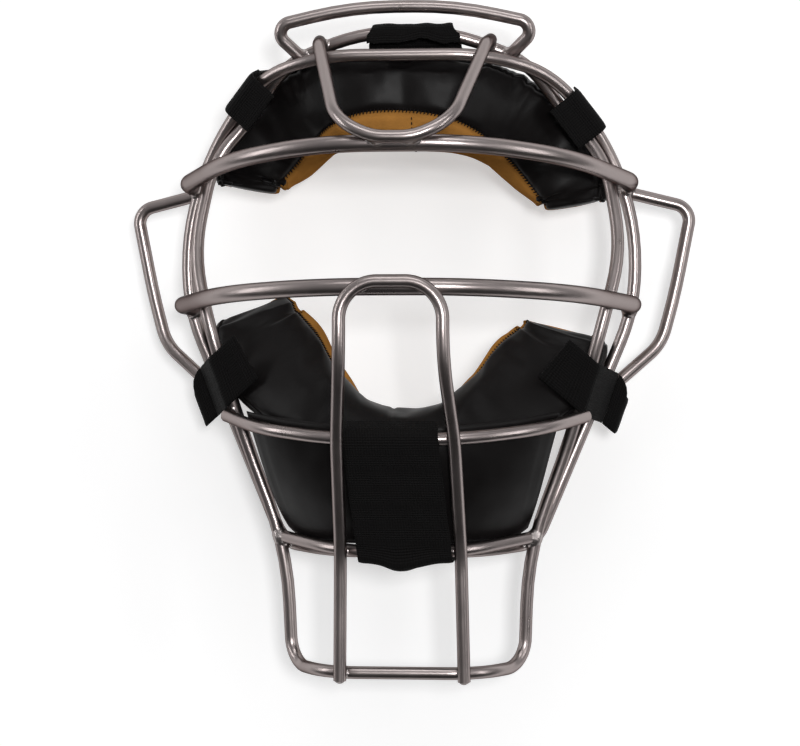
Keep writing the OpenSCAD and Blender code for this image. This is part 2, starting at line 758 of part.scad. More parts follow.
module chin_strap_right() {
    color(webbing) in_frame(chin_frame) slanted(-chin_slant)
        linear_extrude(height = chin_strap_w, center = true) polygon(ribbon(chin_band, web_t));
}

module chin_strap_left() {
    mirror([1, 0, 0]) chin_strap_right();
}

module chin_tab_right() {
    w = chin_strap_w * chin_tab_w;
    color(webbing) in_frame(chin_frame) slanted(-chin_slant) translate([0, 0, -chin_strap_w / 2])
        linear_extrude(height = w) polygon(ribbon(chin_tab, web_t));
}

module chin_tab_left() {
    mirror([1, 0, 0]) chin_tab_right();
}

// Top and bottom straps: routes in the plane of symmetry, [back, up]
top_rear = -inner_fwd + wrap_r + 1.3;
top_band = [
    [-inner_fwd - wrap_r, inner_top - 9],
    [-inner_fwd - wrap_r, inner_top + wrap_r, 3.9],
    [top_rear, inner_top + wrap_r, 3.9],
    [top_rear, inner_top - 6.8, 1.4],
    [top_rear + 2.2, inner_top - 7]
];
top_tab_route = [
    [top_rear + 2.2 + tab_gap, inner_top - 7],
    [top_rear + 2.2 + tab_gap + wide_tab_len, inner_top - 7.2]
];
low_y = -ring_low_fwd;
low_z = -ring_low - 3;
low_rear = low_y + wrap_r + 0.35;
bottom_band = [
    [-chin_out + 1.5, -chin_low + 8],
    [-chin_out - wrap_r, -chin_low + 3, 4],
    [-chin_out - wrap_r, -chin_low - 2, 8],
    [-throat_bar_out - wrap_r - 0.3, -throat_bar_low + 1, 6],
    [-throat_bar_out - wrap_r + 1, -throat_bar_low - wrap_r - 0.6, 3],
    [low_rear, low_z - wrap_r, 3.5],
    [low_rear, low_z + 3.5]
];
bottom_tab_route = [
    [low_rear, low_z + 3.5 + tab_gap],
    [low_rear - 1, low_z + 7, 5],
    [low_rear - wide_tab_len * 0.44, low_z + 7 + wide_tab_len * 0.8]
];

module wide_ribbon(route, w, x) {
    color(webbing) translate([x, 0, 0]) multmatrix(columns([0, 1, 0], [0, 0, 1], [1, 0, 0], [0, 0, 0]))
        linear_extrude(height = w, center = true) polygon(ribbon(route, web_t));
}

module top_strap() {
    wide_ribbon(top_band, top_strap_w, top_strap_x);
}

module top_tab() {
    wide_ribbon(top_tab_route, top_strap_w, top_strap_x);
}

module bottom_strap() {
    wide_ribbon(bottom_band, bottom_strap_w, bottom_strap_x);
}

module bottom_tab() {
    wide_ribbon(bottom_tab_route, bottom_strap_w, bottom_strap_x);
}

outer_ring();
inner_ring();
brow_bar();
nose_bar();
chin_bar();
throat_bar();
centre_hoop();
brow_hoop();
crown_guard();
ear_guard_left();
ear_guard_right();
weld_beads();
forehead_foam();
forehead_cover();
forehead_face();
chin_foam();
chin_cover();
chin_face();
chin_flap();
top_strap();
forehead_strap_left();
forehead_strap_right();
chin_strap_left();
chin_strap_right();
bottom_strap();
top_tab();
forehead_tab_left();
forehead_tab_right();
chin_tab_left();
chin_tab_right();
bottom_tab();
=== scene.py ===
import math

import bmesh
import bpy
import numpy as np
from bpy.props import FloatProperty, FloatVectorProperty, PointerProperty
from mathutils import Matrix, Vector, noise


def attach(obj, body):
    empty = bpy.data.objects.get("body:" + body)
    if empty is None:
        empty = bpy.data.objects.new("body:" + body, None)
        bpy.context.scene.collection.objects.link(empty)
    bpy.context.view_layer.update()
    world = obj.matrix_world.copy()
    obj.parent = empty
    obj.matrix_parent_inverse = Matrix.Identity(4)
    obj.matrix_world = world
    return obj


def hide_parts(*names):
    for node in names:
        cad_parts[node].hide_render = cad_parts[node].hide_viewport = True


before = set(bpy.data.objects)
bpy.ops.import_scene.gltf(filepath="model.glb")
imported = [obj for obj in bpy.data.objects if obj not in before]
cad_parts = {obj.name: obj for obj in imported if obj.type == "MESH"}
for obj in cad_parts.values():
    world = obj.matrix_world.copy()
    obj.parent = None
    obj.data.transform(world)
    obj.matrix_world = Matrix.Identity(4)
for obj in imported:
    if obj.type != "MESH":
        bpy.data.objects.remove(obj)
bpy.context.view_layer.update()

# An umpire mask: a welded cage of bent steel tube, two padded rolls of vinyl
# and leather, a vinyl flap and webbing straps. The shapes are worked out in
# millimetres from the sizes in the sidebar and written to meshes in metres.

bl_info = {
    "name": "Umpire Mask",
    "version": (1, 1, 0),
    "blender": (4, 5, 0),
    "location": "3D View > Sidebar > Mask",
    "description": "Dresses an umpire mask round its packed frame",
    "category": "Object",
}


def size(name, description, millimetres):
    return FloatProperty(name=name, description=description, default=millimetres / 1000, unit="LENGTH",
                         precision=5)


class MaskSizes(bpy.types.PropertyGroup):
    tube_d: size("Tube", "Outside diameter of the thin tube", 6)
    bar_d: size("Bar", "Outside diameter of the brow bar and the nose bar", 8)
    weld_gap: size("Weld gap", "Gap left for the weld between two tubes that cross", 0.25)
    ring_w: size("Ring width", "Distance between the centres of the outer ring's sides", 213.6)
    ring_top: size("Ring top", "Height of the outer ring's top", 148.2)
    ring_fwd: size("Ring forward", "How far the outer ring's top stands forward", 38)
    ring_low: size("Ring low", "Depth of the outer ring's lowest run", 81)
    ring_low_fwd: size("Ring low forward", "How far the lowest run stands forward", 24)
    ring_low_x: size("Ring low half width", "Half the width of the ring at its lowest run", 60.5)
    inner_rise: size("Inner rise", "How far the inner ring's top lies above the outer ring's top", 12.1)
    inner_fwd: size("Inner forward", "How far the inner ring's top stands forward", 26)
    inner_x: size("Inner half width", "Half the width of the inner ring where it is widest", 101.5)
    inner_cheek: size("Inner cheek", "How far the inner ring stands forward at the cheeks", 30)
    throat_low: size("Throat low", "Depth of the throat guard's bottom run", 140)
    throat_fwd: size("Throat forward", "How far the throat guard's bottom run stands forward", 38)
    brow_z: size("Brow height", "Height of the brow bar at its middle", 104.4)
    brow_out: size("Brow forward", "How far the brow bar stands forward", 76)
    brow_fall: size("Brow fall", "Fall of the brow bar to its ends", 15)
    nose_z: size("Nose height", "Height of the nose bar at its middle", 39)
    nose_out: size("Nose forward", "How far the nose bar stands forward", 87)
    nose_fall: size("Nose fall", "Fall of the nose bar to its ends", 7.5)
    chin_low: size("Chin low", "Depth of the chin bar's middle", 30.3)
    chin_out: size("Chin forward", "How far the chin bar stands forward", 68)
    chin_rise: size("Chin rise", "Rise of the chin bar to its ends", 9.5)
    throat_bar_low: size("Throat bar low", "Depth of the throat bar's middle", 83)
    throat_bar_out: size("Throat bar forward", "How far the throat bar stands forward", 46)
    hoop_w: size("Hoop width", "Distance between the centre hoop's legs at the nose bar", 46.6)
    hoop_r: size("Hoop radius", "Bend radius of the centre hoop's top corners", 17)
    hoop_chin_w: size("Hoop chin width", "Distance between the centre hoop's legs at the chin bar", 53.8)
    hoop_foot_w: size("Hoop foot width", "Distance between the centre hoop's feet", 58)
    brow_hoop_w: size("Brow hoop width", "Distance between the brow hoop's ends", 80.5)
    crown_rise: size("Crown rise", "How far the crown guard stands above the inner ring's top", 11.5)
    crown_w: size("Crown width", "Distance between the crown guard's corners", 128)
    ear_x: size("Ear reach", "How far an ear guard stands out from the middle", 134.5)
    weld_fill: size("Weld fillet", "How far the weld metal rounds the corner between two tubes", 2.6)
    brow_pad_w: size("Forehead pad width", "Width of the forehead pad at its middle", 44)
    brow_pad_t: size("Forehead pad thickness", "Thickness of the forehead pad", 43)
    chin_pad_w: size("Chin roll width", "Width of the roll under the chin", 25)
    chin_pad_t: size("Chin pad thickness", "Thickness of the chin pad", 42)
    welt_d: size("Welt", "Diameter of the welt along a pad's outer seam", 1.9)
    stitch_pitch: size("Stitch pitch", "Distance between the whip stitches of a pad", 3.4)
    flap_t: size("Flap thickness", "Thickness of the flap under the chin roll", 4)
    web_t: size("Webbing thickness", "Thickness of the webbing", 1.6)
    side_strap_w: size("Side strap width", "Width of the forehead straps", 23)
    chin_strap_w: size("Chin strap width", "Width of the chin straps", 25)
    top_strap_w: size("Top strap width", "Width of the top strap", 44)
    bottom_strap_w: size("Bottom strap width", "Width of the bottom strap", 44)
    tab_len: size("Side tab length", "Length of a side strap's tab", 24)
    wide_tab_len: size("Wide tab length", "Length of the top and bottom tabs", 25)


def linear(code):
    """Linear colour of an sRGB hex code."""
    parts = [int(code[i:i + 2], 16) / 255 for i in (0, 2, 4)]
    return tuple(c / 12.92 if c <= 0.04045 else ((c + 0.055) / 1.055) ** 2.4 for c in parts) + (1.0,)


def colour(name, description, code):
    return FloatVectorProperty(name=name, description=description, subtype="COLOR", size=4, min=0, max=1,
                               default=linear(code))


class MaskColours(bpy.types.PropertyGroup):
    steel: colour("Steel", "Pewter finish of the cage", "a39997")
    # lighter than the steel under the same coat: painted highlight of the weld beads
    weld: colour("Weld", "Weld metal under the same finish", "b8b0ae")
    vinyl: colour("Vinyl", "Front of the pads and the flap", "110f0f")
    leather: colour("Leather", "Face side of the pads", "a9763a")
    webbing: colour("Webbing", "Straps", "0d0c0c")
    thread: colour("Thread", "Stitches", "171516")
    floor: colour("Floor", "Surface under the mask", "dcdcdc")


def mm(name):
    return getattr(bpy.context.scene.mask_sizes, name) * 1000


def paint(name):
    return tuple(getattr(bpy.context.scene.mask_colours, name))


# Routes of the tubes

BEND_SHARE = 0.47


def vec(p):
    """The place of a route's point, without its bend radius."""
    return Vector((p[0], p[1], p[2]))


def mirrored(p):
    return (-p[0],) + tuple(p[1:])


def both_sides(half):
    """An open route from its right half, which starts near the middle."""
    return [mirrored(p) for p in reversed(half)] + list(half)


def closed_route(half):
    """A closed route from its right half, which starts at the top."""
    return list(half) + [mirrored(p) for p in reversed(half)]


def centreline(route, closed=False, turn_step=4.0):
    """Points along a route whose corners are rounded.

    The fourth number of a point is its bend radius; without one the bend is as wide as it can be.
    """
    n = len(route)
    out = []
    for i in range(n):
        p = vec(route[i])
        if not closed and i in (0, n - 1):
            out.append(p)
            continue
        before, after = vec(route[i - 1]), vec(route[(i + 1) % n])
        way_in, way_out = (p - before).normalized(), (after - p).normalized()
        turn = way_in.angle(way_out)
        if math.degrees(turn) < 0.5:
            out.append(p)
            continue
        most = BEND_SHARE * min((p - before).length, (after - p).length)
        asked = route[i][3] if len(route[i]) > 3 else 0
        tangent = min(most * 2, asked * math.tan(turn / 2)) if asked else most
        radius = tangent / math.tan(turn / 2)
        side = (way_out - way_in * way_in.dot(way_out)).normalized()
        start = p - way_in * tangent
        centre = start + side * radius
        steps = max(3, math.ceil(math.degrees(turn) / turn_step))
        for k in range(steps + 1):
            a = turn * k / steps
            out.append(centre + (way_in * math.sin(a) - side * math.cos(a)) * radius)
    return out


def crossing(line, axis, value, right=False):
    """The first point of a line at a value of one of its coordinates."""
    for a, b in zip(line, line[1:]):
        if right and (a.x <= 0 or b.x <= 0):
            continue
        if (a[axis] - value) * (b[axis] - value) <= 0 and a[axis] != b[axis]:
            return a + (b - a) * ((value - a[axis]) / (b[axis] - a[axis]))
    raise ValueError("the line doesn't reach %g" % value)


def at_height(line, z):
    """Where a line reaches a height on the right side of the mask."""
    return crossing(line, 2, z, right=True)


def at_side(line, x):
    """Where a line reaches a distance from the middle."""
    return crossing(line, 0, x)


def closed_line(route):
    """Centreline of a closed route, ending where it starts."""
    line = centreline(route, True)
    return line + line[:1]


def apart(one_d, other_d):
    """Distance between the centres of two tubes that cross and are welded."""
    return (one_d + other_d) / 2 + mm("weld_gap")


def outer_ring_route():
    half_w, fwd, top, low = mm("ring_w") / 2, mm("ring_fwd"), mm("ring_top"), mm("ring_low")
    return closed_route([
        (38, -fwd, top), (70, -fwd * 0.55, top - 8), (half_w - 11, -2, top - 42), (half_w + 1, 0, top - 79),
        (half_w + 0.5, 0, 31), (mm("ring_low_x"), -4, -low, 14), (34, -mm("ring_low_fwd"), -low - 3)])


def inner_top():
    return mm("ring_top") + mm("inner_rise")


def throat_guard_half():
    """Right half of the throat guard, the lowest stretch of the inner ring."""
    low_x, low, deep = mm("ring_low_x"), mm("ring_low"), mm("throat_low")
    return [(low_x - 3, -14.5, -low - 3), (low_x - 5, -10, -deep + 1.5, 13),
            (36, -mm("throat_fwd") + 2, -deep)]


def inner_ring_route():
    top, in_top = mm("ring_top"), inner_top()
    x, cheek = mm("inner_x"), mm("inner_cheek")
    return closed_route([
        (22, -mm("inner_fwd"), in_top), (58, -20, in_top - 14.3), (73.6, -9.5, in_top - 36.3),
        (x - 7.8, -11, top - 47.2), (x, -cheek * 0.66, top - 90.2), (x - 9, -cheek, 22),
        (mm("ring_low_x") + 17.5, -16.5, -30)] + throat_guard_half())


def brow_end():
    return mm("brow_z") - mm("brow_fall")


def brow_bar_route(outer):
    out, z, end = mm("brow_out"), mm("brow_z"), brow_end()
    hold = at_height(outer, end)
    return both_sides([
        (34, -out, z - 0.4), (80, -out * 0.68, z - 5.8),
        (hold.x + 4.4, -14, end + 1, 12), (hold.x + 3.2, hold.y + 1, end)])


def nose_bar_route(outer):
    out, z = mm("nose_out"), mm("nose_z")
    end = z - mm("nose_fall")
    hold = at_height(outer, end)
    return both_sides([
        (34, -out, z - 0.3), (82, -out * 0.725, z - 2.8),
        (hold.x + 1.5, -21, end + 0.7, 11), (hold.x - 0.8, hold.y - 1, end)])


def chin_bar_route(inner):
    out, low = mm("chin_out"), mm("chin_low")
    end = mm("chin_rise") - low
    hold = at_height(inner, end)
    return both_sides([
        (28, -out, -low), (66, -out * 0.72, 4.6 - low),
        (hold.x + 4, hold.y - apart(mm("tube_d"), mm("tube_d")) + 0.7, end + 0.4)])


def throat_bar_route(inner):
    end = 5.5 - mm("throat_bar_low")
    hold = at_height(inner, end)
    return both_sides([(26, -mm("throat_bar_out"), -mm("throat_bar_low")), (hold.x - 1, hold.y, end)])


def centre_hoop_route(chin, throat):
    x, chin_x, foot_x = mm("hoop_w") / 2, mm("hoop_chin_w") / 2, mm("hoop_foot_w") / 2
    tube_d = mm("tube_d")
    front, off = -mm("nose_out") - apart(tube_d, mm("bar_d")), apart(tube_d, tube_d)
    guard = throat_guard_half()
    low_run = centreline([mirrored(p) for p in guard] + guard[::-1])
    return both_sides([
        (x, front, mm("nose_z") + 2, mm("hoop_r")), (x, front, 6, 58),
        (chin_x, at_side(centreline(chin), chin_x).y - off - 0.5, -mm("chin_low"), 160),
        (foot_x - 1, at_side(centreline(throat), foot_x - 1).y - off, -mm("throat_bar_low"), 60),
        (foot_x, at_side(low_run, foot_x).y - off, -mm("throat_low") - 1.8)])


def brow_hoop_route(outer, brow):
    x, z, tube_d = mm("brow_hoop_w") / 2, mm("brow_z"), mm("tube_d")
    front = at_side(centreline(brow), 0).y - apart(tube_d, mm("bar_d")) * 0.955
    over, off = at_side(outer, x - 1), apart(tube_d, tube_d)
    return both_sides([
        (9, front, z + 1.9, 26), (26.5, front + 3, z + 9.4, 24),
        (x - 1, over.y - off * 0.55, over.z + off * 1.02, 9), (x, -mm("inner_fwd") - 1, inner_top() - 4.3)])


def crown_guard_route():
    top = inner_top() + mm("crown_rise")
    return both_sides([
        (24, -30, top), (mm("crown_w") / 2, -30, top - 9, 5.5), (50, -24, inner_top() - 10.5)])


def ear_guard_route(outer):
    head, foot, x = at_height(outer, brow_end() - 3), at_height(outer, -14), mm("ear_x")
    return [(head.x + 1, 6.5, head.z), (x, 10, head.z - 7.5, 8), (x - 8, 10.5, 38),
            (x - 14.5, 9.5, 14, 24), (foot.x + 2, 2, -12)]


def cage_routes():
    """Routes of the cage's tubes: name to (route, diameter, closed)."""
    tube_d, bar_d = mm("tube_d"), mm("bar_d")
    outer, inner = outer_ring_route(), inner_ring_route()
    outer_line, inner_line = closed_line(outer), closed_line(inner)
    brow, nose = brow_bar_route(outer_line), nose_bar_route(outer_line)
    chin, throat = chin_bar_route(inner_line), throat_bar_route(inner_line)
    ear = ear_guard_route(outer_line)
    return {
        "outer_ring": (outer, tube_d, True), "inner_ring": (inner, tube_d, True),
        "brow_bar": (brow, bar_d, False), "nose_bar": (nose, bar_d, False),
        "chin_bar": (chin, tube_d, False), "throat_bar": (throat, tube_d, False),
        "centre_hoop": (centre_hoop_route(chin, throat), tube_d, False),
        "brow_hoop": (brow_hoop_route(outer_line, brow), tube_d, False),
        "crown_guard": (crown_guard_route(), tube_d, False),
        "ear_guard_left": ([mirrored(p) for p in ear], tube_d, False),
        "ear_guard_right": (ear, tube_d, False),
    }


# Meshes

def make_object(name, points, faces, uvs=None):
    """A smooth-shaded object from points in millimetres; uvs hold one pair for each point."""
    mesh = bpy.data.meshes.new(name)
    mesh.from_pydata([tuple(c * 0.001 for c in p) for p in points], [], faces)
    if uvs is not None:
        layer = mesh.uv_layers.new(name="UVMap")
        loops = np.empty(len(mesh.loops), dtype=np.int32)
        mesh.loops.foreach_get("vertex_index", loops)
        layer.data.foreach_set("uv", np.asarray(uvs, dtype=np.float32)[loops].ravel())
    mesh.shade_smooth()
    mesh.validate()
    return placed(name, mesh)


def placed(name, mesh):
    obj = bpy.data.objects.new(name, mesh)
    bpy.context.scene.collection.objects.link(obj)
    return obj


def outward(obj):
    """Turns the faces of a closed mesh outwards."""
    shape = bmesh.new()
    shape.from_mesh(obj.data)
    bmesh.ops.recalc_face_normals(shape, faces=shape.faces)
    shape.to_mesh(obj.data)
    shape.free()
    return obj


def piece(obj, body, slot, material, *nodes):
    """Hands a piece to the frame: its body, its material and the nodes it stands for; slot is not used."""
    obj.data.materials.clear()
    obj.data.materials.append(material)
    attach(obj, body)
    if nodes:
        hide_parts(*nodes)
    return obj


def add_node(tree, kind, inputs=None, **settings):
    """Adds a node, sets its properties, and fills or links its inputs."""
    node = tree.nodes.new(kind)
    for key, value in settings.items():
        setattr(node, key, value)
    for key, value in (inputs or {}).items():
        socket = node.inputs[key]
        if isinstance(value, bpy.types.NodeSocket):
            tree.links.new(value, socket)
        else:
            socket.default_value = value
    return node


def shape_tree(name, inputs):
    """A tree that makes shapes, with its input node."""
    tree = bpy.data.node_groups.new(name, "GeometryNodeTree")
    tree.interface.new_socket("Geometry", in_out="INPUT", socket_type="NodeSocketGeometry")
    for label, kind in inputs:
        tree.interface.new_socket(label, in_out="INPUT", socket_type="NodeSocket" + kind)
    tree.interface.new_socket("Geometry", in_out="OUTPUT", socket_type="NodeSocketGeometry")
    return tree, add_node(tree, "NodeGroupInput")


def close_shape(tree, geometry, material):
    whole = add_node(tree, "GeometryNodeRealizeInstances", {"Geometry": geometry})
    coat = add_node(tree, "GeometryNodeSetMaterial", {"Geometry": whole.outputs[0], "Material": material})
    out = add_node(tree, "NodeGroupOutput")
    tree.links.new(coat.outputs[0], out.inputs[0])


def grown(name, mesh, tree, **values):
    """The object that a tree makes from a base mesh."""
    base = placed(name + "_base", mesh)
    modifier = base.modifiers.new("grow", "NODES")
    modifier.node_group = tree
    for item in tree.interface.items_tree:
        if item.item_type == "SOCKET" and item.in_out == "INPUT" and item.name in values:
            modifier[item.identifier] = values[item.name]
    made = bpy.data.meshes.new_from_object(base.evaluated_get(bpy.context.evaluated_depsgraph_get()))
    bpy.data.objects.remove(base)
    bpy.data.meshes.remove(mesh)
    made.name = name
    return placed(name, made)


def path_mesh(name, lines, closed=False, vectors=None, tapers=None):
    """Edges along lines of points in millimetres, with each point's taper and outward direction."""
    points, edges = [], []
    for line in lines:
        first = len(points)
        points.extend(line)
        edges.extend((i, i + 1) for i in range(first, len(points) - 1))
        if closed:
            edges.append((len(points) - 1, first))
    mesh = bpy.data.meshes.new(name)
    mesh.from_pydata([tuple(c * 0.001 for c in p) for p in points], edges, [])
    taper = mesh.attributes.new("taper", "FLOAT", "POINT")
    taper.data.foreach_set("value", tapers if tapers is not None else [1.0] * len(points))
    if vectors is not None:
        out = mesh.attributes.new("out", "FLOAT_VECTOR", "POINT")
        out.data.foreach_set("vector", np.asarray([tuple(v) for v in vectors], dtype=np.float32).ravel())
    return mesh


def tube_tree():
    """Round tube along a path. The attribute taper narrows it, for rounded ends."""
    name = "round_tube"
    if name in bpy.data.node_groups:
        return bpy.data.node_groups[name]
    tree, given = shape_tree(name, [("Diameter", "Float"), ("Sides", "Int"), ("Material", "Material")])
    path = add_node(tree, "GeometryNodeMeshToCurve", {"Mesh": given.outputs["Geometry"]})
    taper = add_node(tree, "GeometryNodeInputNamedAttribute", {"Name": "taper"}, data_type="FLOAT")
    thick = add_node(tree, "GeometryNodeSetCurveRadius", {
        "Curve": path.outputs[0], "Radius": taper.outputs[0]})
    half = add_node(tree, "ShaderNodeMath", {0: given.outputs["Diameter"], 1: 0.5}, operation="MULTIPLY")
    ring = add_node(tree, "GeometryNodeCurvePrimitiveCircle", {
        "Resolution": given.outputs["Sides"], "Radius": half.outputs[0]})
    skin = add_node(tree, "GeometryNodeCurveToMesh", {
        "Curve": thick.outputs[0], "Profile Curve": ring.outputs[0], "Fill Caps": True})
    smooth = add_node(tree, "GeometryNodeSetShadeSmooth", {"Geometry": skin.outputs[0]})
    close_shape(tree, smooth.outputs[0], given.outputs["Material"])
    return tree


SAME_PLACE = 1e-3
CAP_STEPS, CAP_TURN = 6, math.pi / 2 / 6.4


def clean_line(line):
    """A line without the points that repeat the one before."""
    return [p for i, p in enumerate(line) if i == 0 or (p - line[i - 1]).length > SAME_PLACE]


def tube(name, line, d, material, closed=False, cap=0.5, sides=32):
    """A tube along a line; an open one has rounded ends that stand out by cap times its radius."""
    line = clean_line(line)
    tapers = [1.0] * len(line)
    if closed and (line[0] - line[-1]).length < SAME_PLACE:
        line, tapers = line[:-1], tapers[:-1]
    if not closed:
        first, last = (line[0] - line[1]).normalized(), (line[-1] - line[-2]).normalized()
        angles = [CAP_TURN * k for k in range(1, CAP_STEPS + 1)]
        reach = d / 2 * cap
        line = ([line[0] + first * (math.sin(a) * reach) for a in reversed(angles)] + line
                + [line[-1] + last * (math.sin(a) * reach) for a in angles])
        tapers = [math.cos(a) for a in reversed(angles)] + tapers + [math.cos(a) for a in angles]
    mesh = path_mesh(name, [line], closed, tapers=tapers)
    return grown(name, mesh, tube_tree(), Diameter=d / 1000, Sides=sides, Material=material)


# Welds

def tube_distance(points, line, r):
    """Distance of points from the skin of a tube."""
    best = np.full(len(points), 1e9)
    for a, b in zip(line, line[1:]):
        way = b - a
        t = np.clip(((points - a) @ way) / (way @ way), 0, 1)
        best = np.minimum(best, np.linalg.norm(points - a - t[:, None] * way, axis=1))
    return best - r


def dense(line, step=0.6):
    """Points of a line at most a step apart."""
    out = []
    for a, b in zip(line, line[1:]):
        n = max(1, int((b - a).length / step))
        out.extend(a + (b - a) * (k / n) for k in range(n))
    return np.array([tuple(p) for p in out + [line[-1]]])


def meeting(a, b, near, within=22):
    """The place near a point where two lines come closest, between them."""
    near = np.array(tuple(near))
    a, b = (line[np.linalg.norm(line - near, axis=1) < within] for line in (dense(a), dense(b)))
    gaps = np.linalg.norm(a[:, None, :] - b[None, :, :], axis=2)
    i, j = np.unravel_index(np.argmin(gaps), gaps.shape)
    return (a[i] + b[j]) / 2


CORNERS = np.array([(i, j, k) for i in (0, 1) for j in (0, 1) for k in (0, 1)])
CELL_EDGES = [(p, q) for p in range(8) for q in range(p + 1, 8)
              if np.abs(CORNERS[p] - CORNERS[q]).sum() == 1]


def skin_of(field, origin, step):
    """Points and quads of the closed skin round the part of a grid where a field is negative."""
    shape = np.array(field.shape) - 1
    values = np.stack([field[i:i + shape[0], j:j + shape[1], k:k + shape[2]] for i, j, k in CORNERS], -1)
    mask = (values.min(-1) < 0) & (values.max(-1) >= 0)
    index = np.full(mask.shape, -1)
    index[mask] = np.arange(mask.sum())
    cells, values = np.argwhere(mask), values[mask]
    total, count = np.zeros((len(cells), 3)), np.zeros(len(cells))
    for p, q in CELL_EDGES:
        cut = (values[:, p] < 0) != (values[:, q] < 0)
        t = values[cut, p] / (values[cut, p] - values[cut, q])
        total[cut] += CORNERS[p] + t[:, None] * (CORNERS[q] - CORNERS[p])
        count[cut] += 1
    points = origin + step * (cells + total / count[:, None])
    inside, quads = field < 0, []
    for axis in range(3):
        u, v = (axis + 1) % 3, (axis + 2) % 3
        flat = np.moveaxis(inside, (axis, u, v), (0, 1, 2))
        cell = np.moveaxis(index, (axis, u, v), (0, 1, 2))
        for enters in (False, True):
            change = (flat[:-1, 1:-1, 1:-1] == enters) & (flat[1:, 1:-1, 1:-1] != enters)
            i, j, k = np.argwhere(change).T
            ring = [cell[i, j, k], cell[i, j + 1, k], cell[i, j + 1, k + 1], cell[i, j, k + 1]]
            quads.append(np.stack(ring if enters else ring[::-1], -1))
    return points, np.concatenate(quads)


WELD_RISE, WELD_DEPTH, WELD_RIPPLE = 0.05, 0.5, 0.035


def weld_patch(lines, centre, reach, fill, step=0.42):
    """Weld metal that rounds the corners between tubes near a place, as a thin closed skin."""
    n = int(math.ceil(reach * 1.08 / step))
    ticks = np.arange(-n - 1, n + 2) * step
    grid = np.stack(np.meshgrid(ticks, ticks, ticks, indexing="ij"), -1).reshape(-1, 3) + centre
    gaps = []
    for line, r in lines:
        line = np.array([tuple(p) for p in line])
        near = [i for i in range(len(line) - 1)
                if tube_distance(np.array([centre]), line[i:i + 2], 0)[0] < reach + r + 6]
        gaps.append(tube_distance(grid, line[near[0]:near[-1] + 2], r))
    gaps = np.sort(np.stack(gaps), axis=0)
    away = np.linalg.norm(grid - centre, axis=1)
    width = np.maximum(fill * (1 - (away / reach) ** 2), 1e-3)
    h = np.clip(width - (gaps[1] - gaps[0]), 0, None) / width
    x, y, z = grid.T
    ripple = np.sin(4.2 * x + 1.3 * y) + np.sin(3.8 * y - 2.1 * z + 1) + np.sin(4.5 * z + 1.2 * x + 2)
    skin = gaps[0] - h * h * width * 0.25 + WELD_RISE + WELD_RIPPLE * h * ripple
    field = np.maximum(np.maximum(skin, -(gaps[0] + WELD_DEPTH)), away - reach * 1.03)
    side = len(ticks)
    return skin_of(field.reshape(side, side, side), centre - step * (n + 1), step)


def weld_joints(lines):
    """Places of the welds: the two tubes, a point near the weld, how far it reaches, how much it fills."""
    brow, nose = mm("brow_z"), mm("nose_z")
    chin, throat, deep = -mm("chin_low"), -mm("throat_bar_low"), -mm("throat_low")
    top, in_top = mm("ring_top"), inner_top()
    leg = mm("hoop_chin_w") / 2
    fill = mm("weld_fill")
    joints = []
    for side in (-1, 1):
        ear = "ear_guard_left" if side < 0 else "ear_guard_right"
        ear_line = lines[ear][0]
        joints += [
            (("centre_hoop", "chin_bar"), (side * leg, -70, chin), 7, fill),
            (("centre_hoop", "throat_bar"), (side * leg, -48, throat), 7, fill),
            (("centre_hoop", "inner_ring"), (side * leg, -40, deep), 7, fill * 1.1),
            (("brow_bar", "outer_ring"), (side * 102, -3, brow_end()), 10, fill * 1.5),
            (("nose_bar", "outer_ring"), (side * 106, -3, nose - mm("nose_fall")), 10, fill * 1.4),
            (("chin_bar", "inner_ring"), (side * 86, -22, chin + mm("chin_rise")), 8, fill * 1.3),
            (("throat_bar", "inner_ring"), (side * 57, -14, throat + 5), 8, fill * 1.4),
            (("brow_hoop", "brow_bar"), (side * 18.5, -78, brow + 3), 5.2, fill * 2.3),
            (("brow_hoop", "outer_ring"), (side * 39, -38, top + 2), 7, fill),
            (("brow_hoop", "inner_ring"), (side * 40, -25, in_top - 5), 8, fill * 1.3),
            (("centre_hoop", "nose_bar"), (side * 9.5, -90, nose + 1), 5, fill * 1.7),
            (("crown_guard", "inner_ring"), (side * 50, -23, in_top - 11), 8, fill * 1.2),
            ((ear, "outer_ring"), tuple(ear_line[0]), 8, fill * 1.4),
            ((ear, "brow_bar"), tuple(ear_line[0]), 7, fill * 1.4),
            ((ear, "outer_ring"), tuple(ear_line[-1]), 8, fill * 1.4),
            (("outer_ring", "inner_ring"), (side * 66, -10, -68), 5, fill * 2),
        ]
    return joints


# Pads. A pad is a closed skin over a grid: rows run along it from its left tip to
# its right tip, columns round its section. Column 0 is the rear seam, where vinyl
# and leather meet out of sight, and column FRONT is the stitched edge seen from the front.

REAR_EDGE = -38
ROWS, FRONT, REAR = 120, 34, 26
PAD_LEAN = 0.055
TIP_START = 0.72


